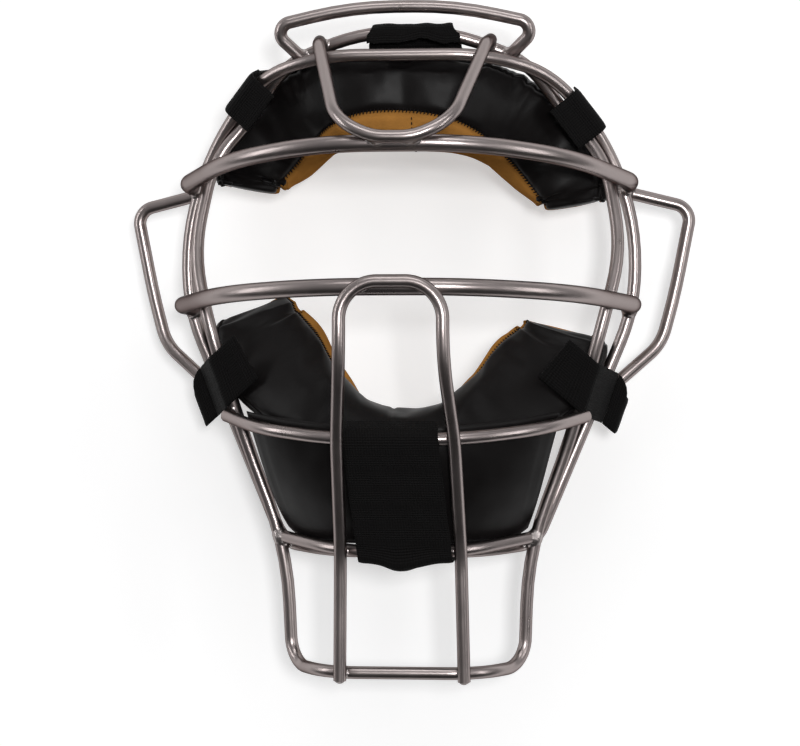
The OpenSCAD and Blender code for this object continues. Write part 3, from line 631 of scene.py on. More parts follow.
def pad_half(which):
    """Rows of half a pad: place, half width, half thickness, angle of the edge between vinyl and leather."""
    half = mm("ring_w") / 2
    top, t, w = mm("ring_top"), mm("brow_pad_t") / 2, mm("brow_pad_w") / 2
    if which == "forehead":
        return [
            (0, -mm("ring_fwd") + 3.6 + t, top - 20.2, w, t, 101),
            (half * 0.234, -12, top - 21, w - 0.2, t, 107),
            (half * 0.44, -0.5, top - 26.2, w + 0.6, t - 1.5, 120),
            (half * 0.609, 13.3, top - 39.6, w, t - 2.5, 133),
            (half * 0.712, 9.5, top - 52.5, w - 3, t - 7.5, 147),
            (half * 0.735, 8, top - 58.5, w - 5, t - 11.5, 162),
            (half * 0.735, 7.5, top - 62.5, w - 7.5, t - 14, 172)]
    t, w, low = mm("chin_pad_t") / 2, mm("chin_pad_w") / 2, mm("chin_low")
    return [
        (0, -mm("chin_out") + 9.5 + t, 14.3 - low - w, w, t, 200),
        (half * 0.225, -34, 3.8 - low, w + 3, t, 194),
        (half * 0.412, -23.6, 15.8 - low, w + 7.5, t + 1, 172),
        (half * 0.562, -7.9, 31 - low, w + 12.5, t + 2, 158),
        (half * 0.665, -0.9, 45 - low, w + 10.5, t - 4, 158),
        (half * 0.698, 1, 55 - low, w + 7.5, t - 9, 166),
        (half * 0.712, 4, 61.3 - low, 16.5, 8, 174)]


def smooth_row(rows, s):
    """The row at a place between the given rows, on a smooth curve through them."""
    n = len(rows) - 1
    i = min(n - 1, int(s))
    t = s - i
    a, b, c, d = (rows[max(0, i - 1)], rows[i], rows[i + 1], rows[min(n, i + 2)])
    bend, twist = 2 * a - 5 * b + 4 * c - d, 3 * b - a - 3 * c + d
    return 0.5 * (2 * b + (c - a) * t + bend * t * t + twist * t ** 3)


def pad_grid(which):
    """Points of a pad's skin before it is stuffed."""
    half = pad_half(which)
    rows = [np.array(r, dtype=float) for r in [mirrored(r) for r in reversed(half[1:])] + half]
    outward_sign = 1 if which == "forehead" else -1
    n = len(rows) - 1
    grid = np.empty((ROWS + 1, FRONT + REAR, 3))
    for i in range(ROWS + 1):
        place = n * i / ROWS
        row = smooth_row(rows, place)
        a, b = smooth_row(rows, max(0, place - 0.05)), smooth_row(rows, min(n, place + 0.05))
        along = Vector((b[0] - a[0], 0, b[2] - a[2])).normalized()
        out = np.array((-along.z, 0, along.x)) * outward_sign
        edge = row[5]
        phi = np.radians(np.concatenate([
            REAR_EDGE + (edge - REAR_EDGE) * np.arange(FRONT) / FRONT,
            edge + (360 + REAR_EDGE - edge) * np.arange(REAR) / REAR]))
        c, s = np.cos(phi), np.sin(phi)
        power = np.where(s < 0, 2 / 2.5, np.where(c > 0, 2 / 3.6, 2 / 2.4))
        u = row[3] * np.sign(c) * np.abs(c) ** power
        v = -row[4] * np.sign(s) * np.abs(s) ** power
        grid[i] = row[:3] + out * u[:, None] + np.array((0, 1, 0)) * v[:, None]
        # the tips are cut at a slant, shorter on the outer side
        end = max(0.0, abs(2 * i / ROWS - 1) - TIP_START) / (1 - TIP_START)
        slant, short = (3.0, 0.5) if which == "forehead" else (3.5, 4.5) if i < ROWS / 2 else (1.0, 7.5)
        cut = (short + slant * u / row[3]) * end * end * math.copysign(1, i - ROWS / 2)
        grid[i] -= np.array(tuple(along)) * cut[:, None]
        # the pad hangs a little crooked: its left end high, its right end low
        grid[i, :, 2] -= PAD_LEAN * row[0]
    return grid


def grid_faces(rows, columns, flip, wrap):
    """Quads of a grid of points; wrap joins its last column to its first."""
    faces = []
    for i in range(rows - 1):
        for k in range(columns if wrap else columns - 1):
            a, b = i * columns + k, i * columns + (k + 1) % columns
            quad = (a, b, b + columns, a + columns)
            faces.append(tuple(reversed(quad)) if flip else quad)
    return faces


def turned_in(grid):
    """True if the quads of a closed grid face inwards."""
    a, b, c = grid[:-1], np.roll(grid, -1, axis=1)[:-1], grid[1:]
    return float(np.sum(np.cross(b - a, c - a) * (a - grid.mean((0, 1))))) < 0


SWELL_FRAMES = 20
IRON_PASSES = 2
TIP_FADE_ROWS = 9


def stuffed(name, grid, pinned, cap):
    """The grid after pressure has swelled it between its pinned seams. No point moves further than cap."""
    rows, columns, _ = grid.shape
    faces = grid_faces(rows, columns, turned_in(grid), True)
    obj = make_object(name, grid.reshape(-1, 3), faces)
    seams = obj.vertex_groups.new(name="seams")
    held = [i * columns + k for i in range(rows) for k in pinned]
    held += list(range(columns)) + list(range((rows - 1) * columns, rows * columns))
    seams.add(sorted(set(held)), 1.0, "REPLACE")
    cloth = obj.modifiers.new("cloth", "CLOTH")
    cloth.settings.quality = 6
    cloth.settings.mass = 0.15
    cloth.settings.use_pressure = True
    cloth.settings.uniform_pressure_force = 4
    cloth.settings.effector_weights.gravity = 0
    cloth.settings.vertex_group_mass = "seams"
    cloth.settings.shrink_min = -0.012
    cloth.settings.bending_stiffness = 0.4
    cloth.point_cache.frame_start, cloth.point_cache.frame_end = 1, SWELL_FRAMES
    scene = bpy.context.scene
    for number in range(1, SWELL_FRAMES + 1):
        scene.frame_set(number)
    mesh = obj.evaluated_get(bpy.context.evaluated_depsgraph_get()).to_mesh()
    moved = np.empty(rows * columns * 3)
    mesh.vertices.foreach_get("co", moved)
    moved = moved.reshape(grid.shape) * 1000 - grid
    scene.frame_set(1)
    data = obj.data
    bpy.data.objects.remove(obj)
    bpy.data.meshes.remove(data)
    # the finest wrinkles are ironed out, and all of them towards the tips
    for _ in range(IRON_PASSES):
        along = (np.concatenate([moved[:1], moved[:-1]]) + np.concatenate([moved[1:], moved[-1:]])) / 2
        round_it = (np.roll(moved, 1, axis=1) + np.roll(moved, -1, axis=1)) / 2
        moved = moved * 0.5 + along * 0.25 + round_it * 0.25
    moved[:, list(pinned)] *= 0.3
    ends = np.minimum(np.arange(rows), np.arange(rows)[::-1]) / TIP_FADE_ROWS
    moved *= np.minimum(1, ends)[:, None, None]
    length = np.linalg.norm(moved, axis=2, keepdims=True)
    return grid + moved * np.minimum(1, cap / np.maximum(length, 1e-6))


def between(grid):
    """Twice as many rows, the new ones on smooth curves through the old ones."""
    before = np.concatenate([grid[:1], grid[:-2]])
    after = np.concatenate([grid[2:], grid[-1:]])
    middle = (9 * (grid[:-1] + grid[1:]) - before - after) / 16
    out = np.empty((2 * len(grid) - 1,) + grid.shape[1:])
    out[0::2], out[1::2] = grid, middle
    return out


def refined(grid):
    """Twice as many rows and columns."""
    grid = between(grid)
    turned = np.swapaxes(np.concatenate([grid, grid[:, :1]], axis=1), 0, 1)
    return np.swapaxes(between(turned), 0, 1)[:, :-1]


def grid_normals(grid):
    """Directions away from the pad at the points of its grid."""
    along = np.gradient(grid, axis=0)
    round_it = np.roll(grid, -1, axis=1) - np.roll(grid, 1, axis=1)
    normals = np.cross(round_it, along)
    normals /= np.maximum(np.linalg.norm(normals, axis=2, keepdims=True), 1e-9)
    return normals * (-1 if turned_in(grid) else 1)


LUMP_HEIGHT, LUMP_SIZE = 0.55, 19
# The two halves of the chin pad's vinyl are joined a little left of the middle
CREASE_X, CREASE_DEPTH, CREASE_REACH = -4.2, 0.9, 1.1


def sewn(grid, which, welt):
    """Pulls a grid in at its seams and gathers it into puckers along its welt."""
    rows, columns, _ = grid.shape
    normals = grid_normals(grid)
    girth = np.linalg.norm(np.roll(grid, -1, axis=1) - grid, axis=2)
    place = np.cumsum(girth, axis=1) - girth
    length = np.concatenate([[0], np.cumsum(np.linalg.norm(np.diff(grid[:, welt], axis=0), axis=1))])
    total = girth.sum(1)
    push = np.zeros((rows, columns))
    # seams: column, how deep they draw the cover in, how far from the seam
    for column, depth, reach in ((0, 1.0, 2.2), (2 * FRONT, 1.1, 2.0), (welt, 0.9, 2.4)):
        off = np.abs(place - place[:, column:column + 1])
        off = np.minimum(off, total[:, None] - off)
        push -= depth * np.exp(-(off / reach) ** 2)
    # puckers: distance along the welt, how far they spread, how deep they are
    if which == "forehead":
        gathers = [(70, 16, 1.5), (length[-1] - 74, 22, 1.6), (length[-1] / 2, 60, 0.45)]
    else:
        gathers = [(38, 16, 0.5), (length[-1] - 38, 16, 0.5), (length[-1] / 2, 50, 0.5)]
    away = place - place[:, welt:welt + 1]
    for i in range(rows):
        strength = sum(deep * math.exp(-((length[i] - middle) / spread) ** 2)
                       for middle, spread, deep in gathers)
        if strength < 0.05:
            continue
        for k in range(columns):
            if abs(away[i, k]) < 26:
                fold = noise.noise(Vector((length[i] / 3.1, away[i, k] / 21, 4.5)))
                push[i, k] += strength * 1.5 * fold * math.exp(-abs(away[i, k]) / 8)
    for i in range(rows):
        for k in range(columns):
            push[i, k] += LUMP_HEIGHT * noise.noise(Vector(grid[i, k] / LUMP_SIZE))
    if which == "chin":
        push -= CREASE_DEPTH * np.exp(-((grid[:, :, 0] - CREASE_X) / CREASE_REACH) ** 2)
    return grid + normals * push[:, :, None]


# Rings of the dome over a pad's tip: share of the tip's width, height
DOME = ((0.95, 0.9), (0.86, 1.5), (0.7, 1.9), (0.4, 2.2), (0.0, 2.3))


def with_tips(grid):
    """Closes both tips with shallow domes."""
    def dome(ring, inner):
        middle, way = ring.mean(0), ring.mean(0) - inner.mean(0)
        way /= np.linalg.norm(way)
        return [middle + (ring - middle) * share + way * height for share, height in DOME]
    first, last = dome(grid[0], grid[1]), dome(grid[-1], grid[-2])
    return np.concatenate([np.array(first[::-1]), grid, np.array(last)])


def pad_cover(name, grid, first, last, thickness=1.2):
    """The part of a pad's skin between two columns, as a cover of even thickness."""
    columns = [k % grid.shape[1] for k in range(first, last + 1)]
    part = grid[:, columns]
    faces = grid_faces(part.shape[0], part.shape[1], turned_in(grid), False)
    lengths = np.cumsum(np.linalg.norm(np.diff(part.mean(1), axis=0, prepend=part.mean(1)[:1]), axis=1))
    girth = np.cumsum(np.linalg.norm(np.diff(part, axis=1, prepend=part[:, :1]), axis=2), axis=1)
    uvs = np.stack([girth, np.broadcast_to(lengths[:, None], girth.shape)], -1).reshape(-1, 2)
    obj = make_object(name, part.reshape(-1, 3), faces, uvs)
    wall = obj.modifiers.new("cloth_thickness", "SOLIDIFY")
    wall.thickness, wall.offset = thickness / 1000, -1
    return obj


def thread_tree():
    """Stitches along a path. The attribute out gives the direction away from the cloth."""
    name = "stitches"
    if name in bpy.data.node_groups:
        return bpy.data.node_groups[name]
    tree, given = shape_tree(name, [("Pitch", "Float"), ("Length", "Float"), ("Thickness", "Float"),
                                    ("Turn", "Float"), ("Material", "Material")])
    path = add_node(tree, "GeometryNodeMeshToCurve", {"Mesh": given.outputs["Geometry"]})
    even = add_node(tree, "GeometryNodeResampleCurve", {
        "Curve": path.outputs[0], "Length": given.outputs["Pitch"]}, mode="LENGTH")
    tangent = add_node(tree, "GeometryNodeInputTangent")
    out = add_node(tree, "GeometryNodeInputNamedAttribute", {"Name": "out"}, data_type="FLOAT_VECTOR")
    lie = add_node(tree, "FunctionNodeAlignRotationToVector", {"Vector": tangent.outputs[0]}, axis="X")
    up = add_node(tree, "FunctionNodeAlignRotationToVector", {
        "Rotation": lie.outputs[0], "Vector": out.outputs[0]}, axis="Z", pivot_axis="X")
    ball = add_node(tree, "GeometryNodeMeshUVSphere", {"Segments": 8, "Rings": 6, "Radius": 0.5})
    scale = add_node(tree, "ShaderNodeCombineXYZ", {
        0: given.outputs["Length"], 1: given.outputs["Thickness"], 2: given.outputs["Thickness"]})
    thread = add_node(tree, "GeometryNodeTransform", {
        "Geometry": ball.outputs[0], "Scale": scale.outputs[0]})
    smooth = add_node(tree, "GeometryNodeSetShadeSmooth", {"Geometry": thread.outputs[0]})
    many = add_node(tree, "GeometryNodeInstanceOnPoints", {
        "Points": even.outputs[0], "Instance": smooth.outputs[0], "Rotation": up.outputs[0]})
    angle = add_node(tree, "ShaderNodeCombineXYZ", {2: given.outputs["Turn"]})
    turned = add_node(tree, "GeometryNodeRotateInstances", {
        "Instances": many.outputs[0], "Rotation": angle.outputs[0], "Local Space": True})
    close_shape(tree, turned.outputs[0], given.outputs["Material"])
    return tree


def stitches(name, line, ways, pitch, length, thickness, turn, material):
    """Stitches along a line, each turned by an angle from its run; ways point away from the cloth."""
    mesh = path_mesh(name, [line], vectors=ways)
    return grown(name, mesh, thread_tree(), Pitch=pitch / 1000, Length=length / 1000,
                 Thickness=thickness / 1000, Turn=math.radians(turn), Material=material)


MOST_SWELL = 2.5
WHIP_LENGTH, WHIP_THICKNESS, WHIP_TURN = 2.3, 0.65, 68
SEAM_PITCH, SEAM_LENGTH, SEAM_THICKNESS = 2.4, 1.7, 0.6
SEAM_X, SEAM_START, SEAM_STOP = 4.0, 2, 30
FOREHEAD_WELT, CHIN_WELT = 36, 34


def sew_pad(which, welt_angle):
    """Makes a pad: vinyl front, leather face side, welt and stitches."""
    grid = pad_grid(which)
    grid = stuffed(which + "_swell", grid, (0, FRONT), MOST_SWELL)
    grid = refined(grid)
    edge = pad_half(which)[3][5]
    welt = 2 * round(FRONT * (welt_angle - REAR_EDGE) / (edge - REAR_EDGE))
    grid = sewn(grid, which, welt)
    normals = grid_normals(grid)
    whole = with_tips(grid)
    vinyl, leather = material_of("pad_vinyl", vinyl_material), material_of("tan_cowhide", leather_material)
    thread = material_of("black_thread", thread_material)
    columns = grid.shape[1]
    front = pad_cover(which + "_vinyl", whole, 0, 2 * FRONT)
    piece(front, "cage", "black_vinyl", vinyl, which + "_cover", which + "_foam")
    rear = pad_cover(which + "_leather", whole, 2 * FRONT, columns)
    piece(rear, "cage", "tan_leather", leather, which + "_face")

    line = [Vector(p) for p in (grid[:, welt] + normals[:, welt] * 0.1)]
    cord = tube(which + "_welt", line, mm("welt_d"), vinyl, cap=0.8, sides=12)
    piece(cord, "cage", "black_vinyl", vinyl)
    line = grid[2:-2, 2 * FRONT] + normals[2:-2, 2 * FRONT] * 0.35
    ways = [Vector(v) for v in normals[2:-2, 2 * FRONT]]
    sewing = stitches(which + "_stitches", [Vector(p) for p in line], ways,
                      mm("stitch_pitch") * 0.5, WHIP_LENGTH, WHIP_THICKNESS, WHIP_TURN, thread)
    piece(sewing, "cage", "black_vinyl", thread)
    return grid, normals


# The flap. It hangs behind the chin bar and the throat bar; s runs from -1 at its
# left edge to 1 at its right edge, t from 0 at its top to 1 at its foot.

FLAP_HEIGHT, FLAP_BULGE = 62, 5.5
TOP_SHARE, FOOT_SHARE = 0.693, 0.535
HEM_IN, HEM_DEPTH = 4.2, 0.5


def flap_front(s, t, chin, throat):
    """A point of the flap's front."""
    half, r = mm("ring_w") / 2, mm("tube_d") / 2
    top_x, low_x = half * TOP_SHARE, half * FOOT_SHARE
    top_z, low_z = 6 - mm("chin_low"), 3.6 - mm("throat_bar_low")
    top, low = at_side(chin, s * top_x), at_side(throat, s * low_x)
    corner = 6 * (max(0, abs(s) - 0.75) / 0.25) ** 2 * (max(0, t - 0.5) / 0.5) ** 2
    return Vector((
        s * (top_x + (low_x - top_x) * t),
        top.y + (low.y - top.y) * t + (r + 0.1) * (1 + 0.8 * s * s * t) - 4 * FLAP_BULGE * t * (1 - t),
        top_z + 6.5 * s * s * (1 - t) + (low_z - top_z) * t + corner))


def flap_skin(name):
    """The flap: two sheets of vinyl over thin wadding, closed by a rolled edge."""
    routes = cage_routes()
    chin, throat = centreline(routes["chin_bar"][0]), centreline(routes["throat_bar"][0])
    across, down = 96, 44
    front, back = [], []
    for j in range(down + 1):
        t = j / down
        for i in range(across + 1):
            s = 2 * i / across - 1
            p = flap_front(s, t, chin, throat)
            # distance from the top or the foot; the sides are rolled over twice as wide
            inward = min(t, 1 - t) * FLAP_HEIGHT
            rim = max(0.0, 1 - min((1 - abs(s)) * 34, inward) / 2.2)
            thick = mm("flap_t") * (0.45 + 0.55 * math.sqrt(max(0, (1 - s ** 4) * (1 - (2 * t - 1) ** 4))))
            roll = thick / 2 * (1 - math.sqrt(max(0.0, 1 - rim * rim)))
            soft = 0.5 * noise.noise(Vector((p.x / 24, p.z / 17, 2.0)))
            soft += 0.22 * noise.noise(Vector((p.x / 8, p.z / 8, 9.0)))
            groove = HEM_DEPTH * math.exp(-(min((1 - abs(s)) * 72, inward) - HEM_IN) ** 2)
            front.append(p + Vector((0, roll + (groove - soft) * (1 - rim), 0)))
            back.append(p + Vector((0, thick - roll - soft * (1 - rim), 0)))
    n = across + 1
    faces = grid_faces(down + 1, n, True, False)
    offset = len(front)
    faces += [tuple(offset + v for v in reversed(f)) for f in grid_faces(down + 1, n, True, False)]
    rim = list(range(n)) + [j * n + across for j in range(1, down + 1)]
    rim += [down * n + i for i in range(across - 1, -1, -1)] + [j * n for j in range(down - 1, 0, -1)]
    for a, b in zip(rim, rim[1:] + rim[:1]):
        faces.append((a, b, b + offset, a + offset))
    points = front + back
    return outward(make_object(name, points, faces, [(p.x, p.z) for p in points]))


# Webbing

def even_line(route, step=0.9):
    """Evenly spaced points of a flat route whose corners are rounded by the third number."""
    line = clean_line(centreline([(p[0], p[1], 0, p[2]) if len(p) > 2 else (p[0], p[1], 0) for p in route]))
    lengths = [0.0]
    for a, b in zip(line, line[1:]):
        lengths.append(lengths[-1] + (b - a).length)
    n = max(3, round(lengths[-1] / step))
    out, i = [], 0
    for k in range(n + 1):
        at = lengths[-1] * k / n
        while i < len(line) - 2 and lengths[i + 1] < at:
            i += 1
        t = (at - lengths[i]) / (lengths[i + 1] - lengths[i])
        out.append(line[i] + (line[i + 1] - line[i]) * t)
    return out, lengths[-1] / n


def webbing_strip(name, route, lay, low, high, seed, wave=0.25, ragged=0.35):
    """A band of webbing along a flat route, from low to high across it.

    lay puts a point of the route, at a place across the band, where it is in the mask.
    """
    t = mm("web_t")
    line, step = even_line(route)
    n = len(line)
    across = max(8, round((high - low) / 1.3))
    rings, uvs = [], []
    for i, p in enumerate(line):
        way = (line[min(n - 1, i + 1)] - line[max(0, i - 1)]).normalized()
        normal = Vector((-way.y, way.x, 0))
        end = 1 if i == n - 1 else -1 if i == 0 else 0
        upper, lower, upper_uv = [], [], []
        for k in range(across + 1):
            e = low + (high - low) * k / across
            side = min(k, across - k)
            thick = t / 2 * (0.55 if side == 0 else 0.9 if side == 1 else 1.0)
            fade = min(1.0, i / 6, (n - 1 - i) / 6)
            lift = wave * fade * noise.noise(Vector((i * step / 11, e / 8, seed)))
            slip = end * ragged * noise.noise(Vector((e / 1.7, seed * 3.1, 0.5)))
            q = p + way * slip + normal * lift
            drift = 0.25 * noise.noise(Vector((i * step / 9, seed, k / across * 3)))
            upper.append(lay(q + normal * thick, e + drift))
            lower.append(lay(q - normal * thick, e + drift))
            upper_uv.append((e, i * step))
        rings.append(upper + lower[::-1])
        uvs.extend(upper_uv + upper_uv[::-1])
    m = len(rings[0])
    faces = grid_faces(n, m, False, True)
    for base in (0, (n - 1) * m):
        faces += [(base + k, base + k + 1, base + m - 2 - k, base + m - 1 - k) for k in range(across)]
    return outward(make_object(name, [p for ring in rings for p in ring], faces, uvs))


def strap_frame(z, outer, inner):
    """How a right side strap lies at a height, and where the inner ring is in its section.

    lay(point, e) puts a point of the section, e down the rings, in the mask.
    """
    o = at_height(outer, z)
    way = sum((at_height(ring, z - 4) - at_height(ring, z + 4) for ring in (outer, inner)), Vector())
    way.normalize()
    out = Vector((-way.z, 0, way.x)).normalized()
    back = out.cross(way)
    d = at_height(inner, z) - o
    inner_place = (d.dot(out), d.dot(back))

    def lay(p, e, slant=0.0, sign=1):
        q = o + out * p.x + back * p.y - way * (e - slant * p.x)
        return Vector((q.x * sign, q.y, q.z))
    return lay, inner_place


# Straps. A route lies in the plane of a strap's section, and a lay function
# takes it into the mask. Each tab starts a small gap behind its band's end.

TAB_GAP = 0.4
TUBE_CLEARANCE = 0.3


def wrap_radius():
    """Distance of a band's middle from the centre of the tube that it wraps."""
    return mm("tube_d") / 2 + TUBE_CLEARANCE + mm("web_t") / 2


def share(value, start, stop):
    """How far a value has come from start to stop, from 0 to 1."""
    return min(1.0, max(0.0, (value - start) / (stop - start)))


def strip(name, route, lay, half, seed, body="cage", **more):
    """A band or tab of webbing, handed to the frame."""
    webbing = material_of("woven_webbing", webbing_material)
    obj = webbing_strip(name + "_web", route, lay, -half, half, seed, **more)
    piece(obj, body, "webbing", webbing, name)


def ring_lines():
    return closed_line(outer_ring_route()), closed_line(inner_ring_route())


def forehead_straps(rings):
    wrap, top, half = wrap_radius(), mm("ring_top"), mm("side_strap_w") / 2
    for side, sign, z, seed in (("right", 1, top - 25.2, 1.3), ("left", -1, top - 16, 5.7)):
        lay, inner = strap_frame(z, *rings)
        off, out = wrap + 2.5, wrap + 0.2

        def place(p, e, lay=lay, sign=sign):
            return lay(p, e, sign=sign)

        def trimmed(p, e, lay=lay, sign=sign):
            t = share(p.y, 0, 28)
            return lay(p, e * (1 - 0.28 * t) - 3.0 * t, sign=sign)

        band = [(inner[0] - 5.5, -off - 0.8), (inner[0] - 1, -off - 0.1, 9), (out, -off, 4), (out, 4.6)]
        tab = [(out, 4.6 + TAB_GAP), (out, 4.6 + TAB_GAP + mm("tab_len"))]
        strip("forehead_strap_" + side, band, place, half, seed)
        strip("forehead_tab_" + side, tab, trimmed, half, seed + 0.4, body="forehead_tab_" + side)


def chin_straps(rings):
    wrap, half, slant = wrap_radius(), mm("chin_strap_w") / 2, 0.42
    lay, inner = strap_frame(-4.2, *rings)
    for side, sign, seed, start, skew, drop in (
            ("right", 1, 2.1, 13.5, 8, 4), ("left", -1, 8.9, 12.5, 3.5, 0.5)):
        def place(p, e, sign=sign, skew=skew, drop=drop):
            # the end on the pad is cut at a slant
            t = share(p.x, inner[0], inner[0] - 12)
            q = Vector((p.x - skew * t * (half - e) / (2 * half), p.y, 0))
            return lay(q, e - drop, slant=slant, sign=sign)

        def folded(p, e, sign=sign, drop=drop):
            # the tab narrows to its fold, below the ear guard's foot
            t = share(p.y, -0.9, 1.9)
            return lay(p, (e + half) * (1 - 0.3 * t * t * (3 - 2 * t)) - half - drop, slant=slant, sign=sign)

        band = [(inner[0] - start, inner[1] - 11.5), (inner[0] - 2.5, inner[1] - 6.4, 6),
                (inner[0] + 2.9, inner[1] - 5.9, 3), (wrap + 1.1, -1.2)]
        tab = [(wrap + 1.9, -1.2 + TAB_GAP * 1.5), (12.8, 1.0, 2.6), (13.4, 10.5, 4), (4, 15.5)]
        strip("chin_strap_" + side, band, place, half, seed)
        strip("chin_tab_" + side, tab, folded, half, seed + 0.4, body="chin_tab_" + side)


def top_strap():
    wrap, half = wrap_radius(), mm("top_strap_w") / 2
    top, fwd = inner_top(), -mm("inner_fwd")

    def over_crown(p, e):
        # narrower at the top, its hem wavy
        low = share(p.y, top + 4, top - 5)
        wavy = (4.0 + 0.9 * math.sin(e / 5.5 + 1.0) + 0.5 * math.sin(e / 2.9)) if p.x < fwd else 0.0
        across = 4.4 + e * (0.85 + 0.15 * low) - 0.6 * (1 - low)
        return Vector((across, p.x, p.y - 0.9 * (1 - low) + wavy * low * low))

    rear, tab_z = fwd + wrap + 1.3, top - 7
    band = [(fwd - wrap, top - 9), (fwd - wrap, top + wrap, 3.9), (rear, top + wrap, 3.9),
            (rear, tab_z + 0.2, 1.4), (rear + 2.2, tab_z)]
    tab = [(rear + 2.2 + TAB_GAP, tab_z), (rear + 2.2 + TAB_GAP + mm("wide_tab_len"), tab_z - 0.2)]
    strip("top_strap", band, over_crown, half, 3.3, wave=0.7, ragged=0.8)
    strip("top_tab", tab, over_crown, half, 3.9, body="top_tab")


def bottom_strap():
    wrap, half, length = wrap_radius(), mm("bottom_strap_w") / 2, mm("wide_tab_len")
    chin_y, chin_z = -mm("chin_out"), -mm("chin_low")
    throat_y, throat_z = -mm("throat_bar_out"), -mm("throat_bar_low")
    rear, low_z = -mm("ring_low_fwd") + wrap + 0.35, -mm("ring_low") - 3

    def under_chin(p, e):
        # leans to the right on its way down, its hem lowest a little left of the middle
        low = share(p.y, -78, -87)
        hem = 0.9 - 4.2 * math.exp(-((e + 2) / 11) ** 2)
        return Vector((-2.8 + e - 0.085 * (p.y + 27), p.x, p.y + hem * low))

    band = [(chin_y + 1.5, chin_z + 8), (chin_y - wrap, chin_z + 3, 4), (chin_y - wrap, chin_z - 2, 8),
            (throat_y - wrap - 0.3, throat_z + 1, 6), (throat_y - wrap + 1, throat_z - wrap - 0.6, 3),
            (rear, low_z - wrap, 3.5), (rear, low_z + 3.5)]
    tab = [(rear, low_z + 3.5 + TAB_GAP), (rear - 1, low_z + 7, 5),
           (rear - length * 0.44, low_z + 7 + length * 0.8)]
    strip("bottom_strap", band, under_chin, half, 6.1, wave=0.6)
    strip("bottom_tab", tab, under_chin, half, 6.6, body="bottom_tab")


# Materials

def new_material(name):
    material = bpy.data.materials.new(name)
    material.use_nodes = True
    material.node_tree.nodes.clear()
    return material, material.node_tree


def close_material(tree, shader):
    out = add_node(tree, "ShaderNodeOutputMaterial")
    tree.links.new(shader.outputs[0], out.inputs["Surface"])


def tint(rgb, k):
    """A colour made darker or lighter."""
    return tuple(min(1.0, c * k) for c in rgb[:3]) + (1.0,)


def material_of(name, make):
    """The material of a name, made once."""
    return bpy.data.materials.get(name) or make(name)


# Bent steel tube under a thin satin pewter coat: a broad soft sheen with dark
# flanks, faintly clouded, with a fine grit of 0.4 mm in the coat
def steel_material(name):
    material, tree = new_material(name)
    at = add_node(tree, "ShaderNodeTexCoord").outputs["Object"]
    cloud = add_node(tree, "ShaderNodeTexNoise", {"Vector": at, "Scale": 60.0, "Detail": 4.0})
    grit = add_node(tree, "ShaderNodeTexNoise", {"Vector": at, "Scale": 2400.0, "Detail": 2.0})
    base = paint("steel")
    shade = add_node(tree, "ShaderNodeMix", {
        0: cloud.outputs["Fac"], 6: tint(base, 0.9), 7: tint(base, 1.08)}, data_type="RGBA")
    rough = add_node(tree, "ShaderNodeMapRange", {
        "Value": cloud.outputs["Fac"], 1: 0.3, 2: 0.7, 3: 0.27, 4: 0.34})
    bump = add_node(tree, "ShaderNodeBump", {
        "Strength": 0.12, "Distance": 0.0001, "Height": grit.outputs["Fac"]})
    shader = add_node(tree, "ShaderNodeBsdfPrincipled", {
        "Base Color": shade.outputs[2], "Metallic": 1.0, "Roughness": rough.outputs[0],
        "Specular Tint": (0.08, 0.076, 0.076, 1.0), "Normal": bump.outputs[0]})
    close_material(tree, shader)
    return material


# Weld metal under the same coat, a little rougher; painted highlight: its colour lighter than the steel's
# and brighter on its ridges, darker in the hollows
def weld_material(name):
    material, tree = new_material(name)
    at = add_node(tree, "ShaderNodeTexCoord").outputs["Object"]
    ripple = add_node(tree, "ShaderNodeTexNoise", {"Vector": at, "Scale": 700.0, "Detail": 3.0})
    # painted highlight and shade: the ripple that raises the ridges also colours them from 0.8 to 1.1 times
    # the weld colour
    base = paint("weld")
    shade = add_node(tree, "ShaderNodeMix", {
        0: ripple.outputs["Fac"], 6: tint(base, 0.8), 7: tint(base, 1.1)}, data_type="RGBA")
    bump = add_node(tree, "ShaderNodeBump", {
        "Strength": 0.4, "Distance": 0.0003, "Height": ripple.outputs["Fac"]})
    shader = add_node(tree, "ShaderNodeBsdfPrincipled", {
        "Base Color": shade.outputs[2], "Metallic": 1.0, "Roughness": 0.3,
        "Specular Tint": (0.15, 0.145, 0.145, 1.0), "Normal": bump.outputs[0]})
    close_material(tree, shader)
    return material


# Upholstery vinyl, satin black: soft wide reflections over a grain of 0.8 mm
# and the slow waves of cloth stretched over foam
def vinyl_material(name):
    material, tree = new_material(name)
    at = add_node(tree, "ShaderNodeTexCoord").outputs["Object"]
    grain = add_node(tree, "ShaderNodeTexVoronoi", {"Vector": at, "Scale": 1250.0})
    waves = add_node(tree, "ShaderNodeTexNoise", {"Vector": at, "Scale": 70.0, "Detail": 3.0})
    height = add_node(tree, "ShaderNodeMath", {
        0: grain.outputs["Distance"], 1: 0.12, 2: waves.outputs["Fac"]}, operation="MULTIPLY_ADD")
    bump = add_node(tree, "ShaderNodeBump", {
        "Strength": 0.22, "Distance": 0.0005, "Height": height.outputs[0]})
    rough = add_node(tree, "ShaderNodeMapRange", {
        "Value": waves.outputs["Fac"], 1: 0.3, 2: 0.7, 3: 0.38, 4: 0.48})
    base = paint("vinyl")
    shade = add_node(tree, "ShaderNodeMix", {
        0: waves.outputs["Fac"], 6: tint(base, 0.8), 7: tint(base, 1.25)}, data_type="RGBA")
    shader = add_node(tree, "ShaderNodeBsdfPrincipled", {
        "Base Color": shade.outputs[2], "Roughness": rough.outputs[0], "Specular IOR Level": 0.14,
        "Normal": bump.outputs[0]})
    close_material(tree, shader)
    return material
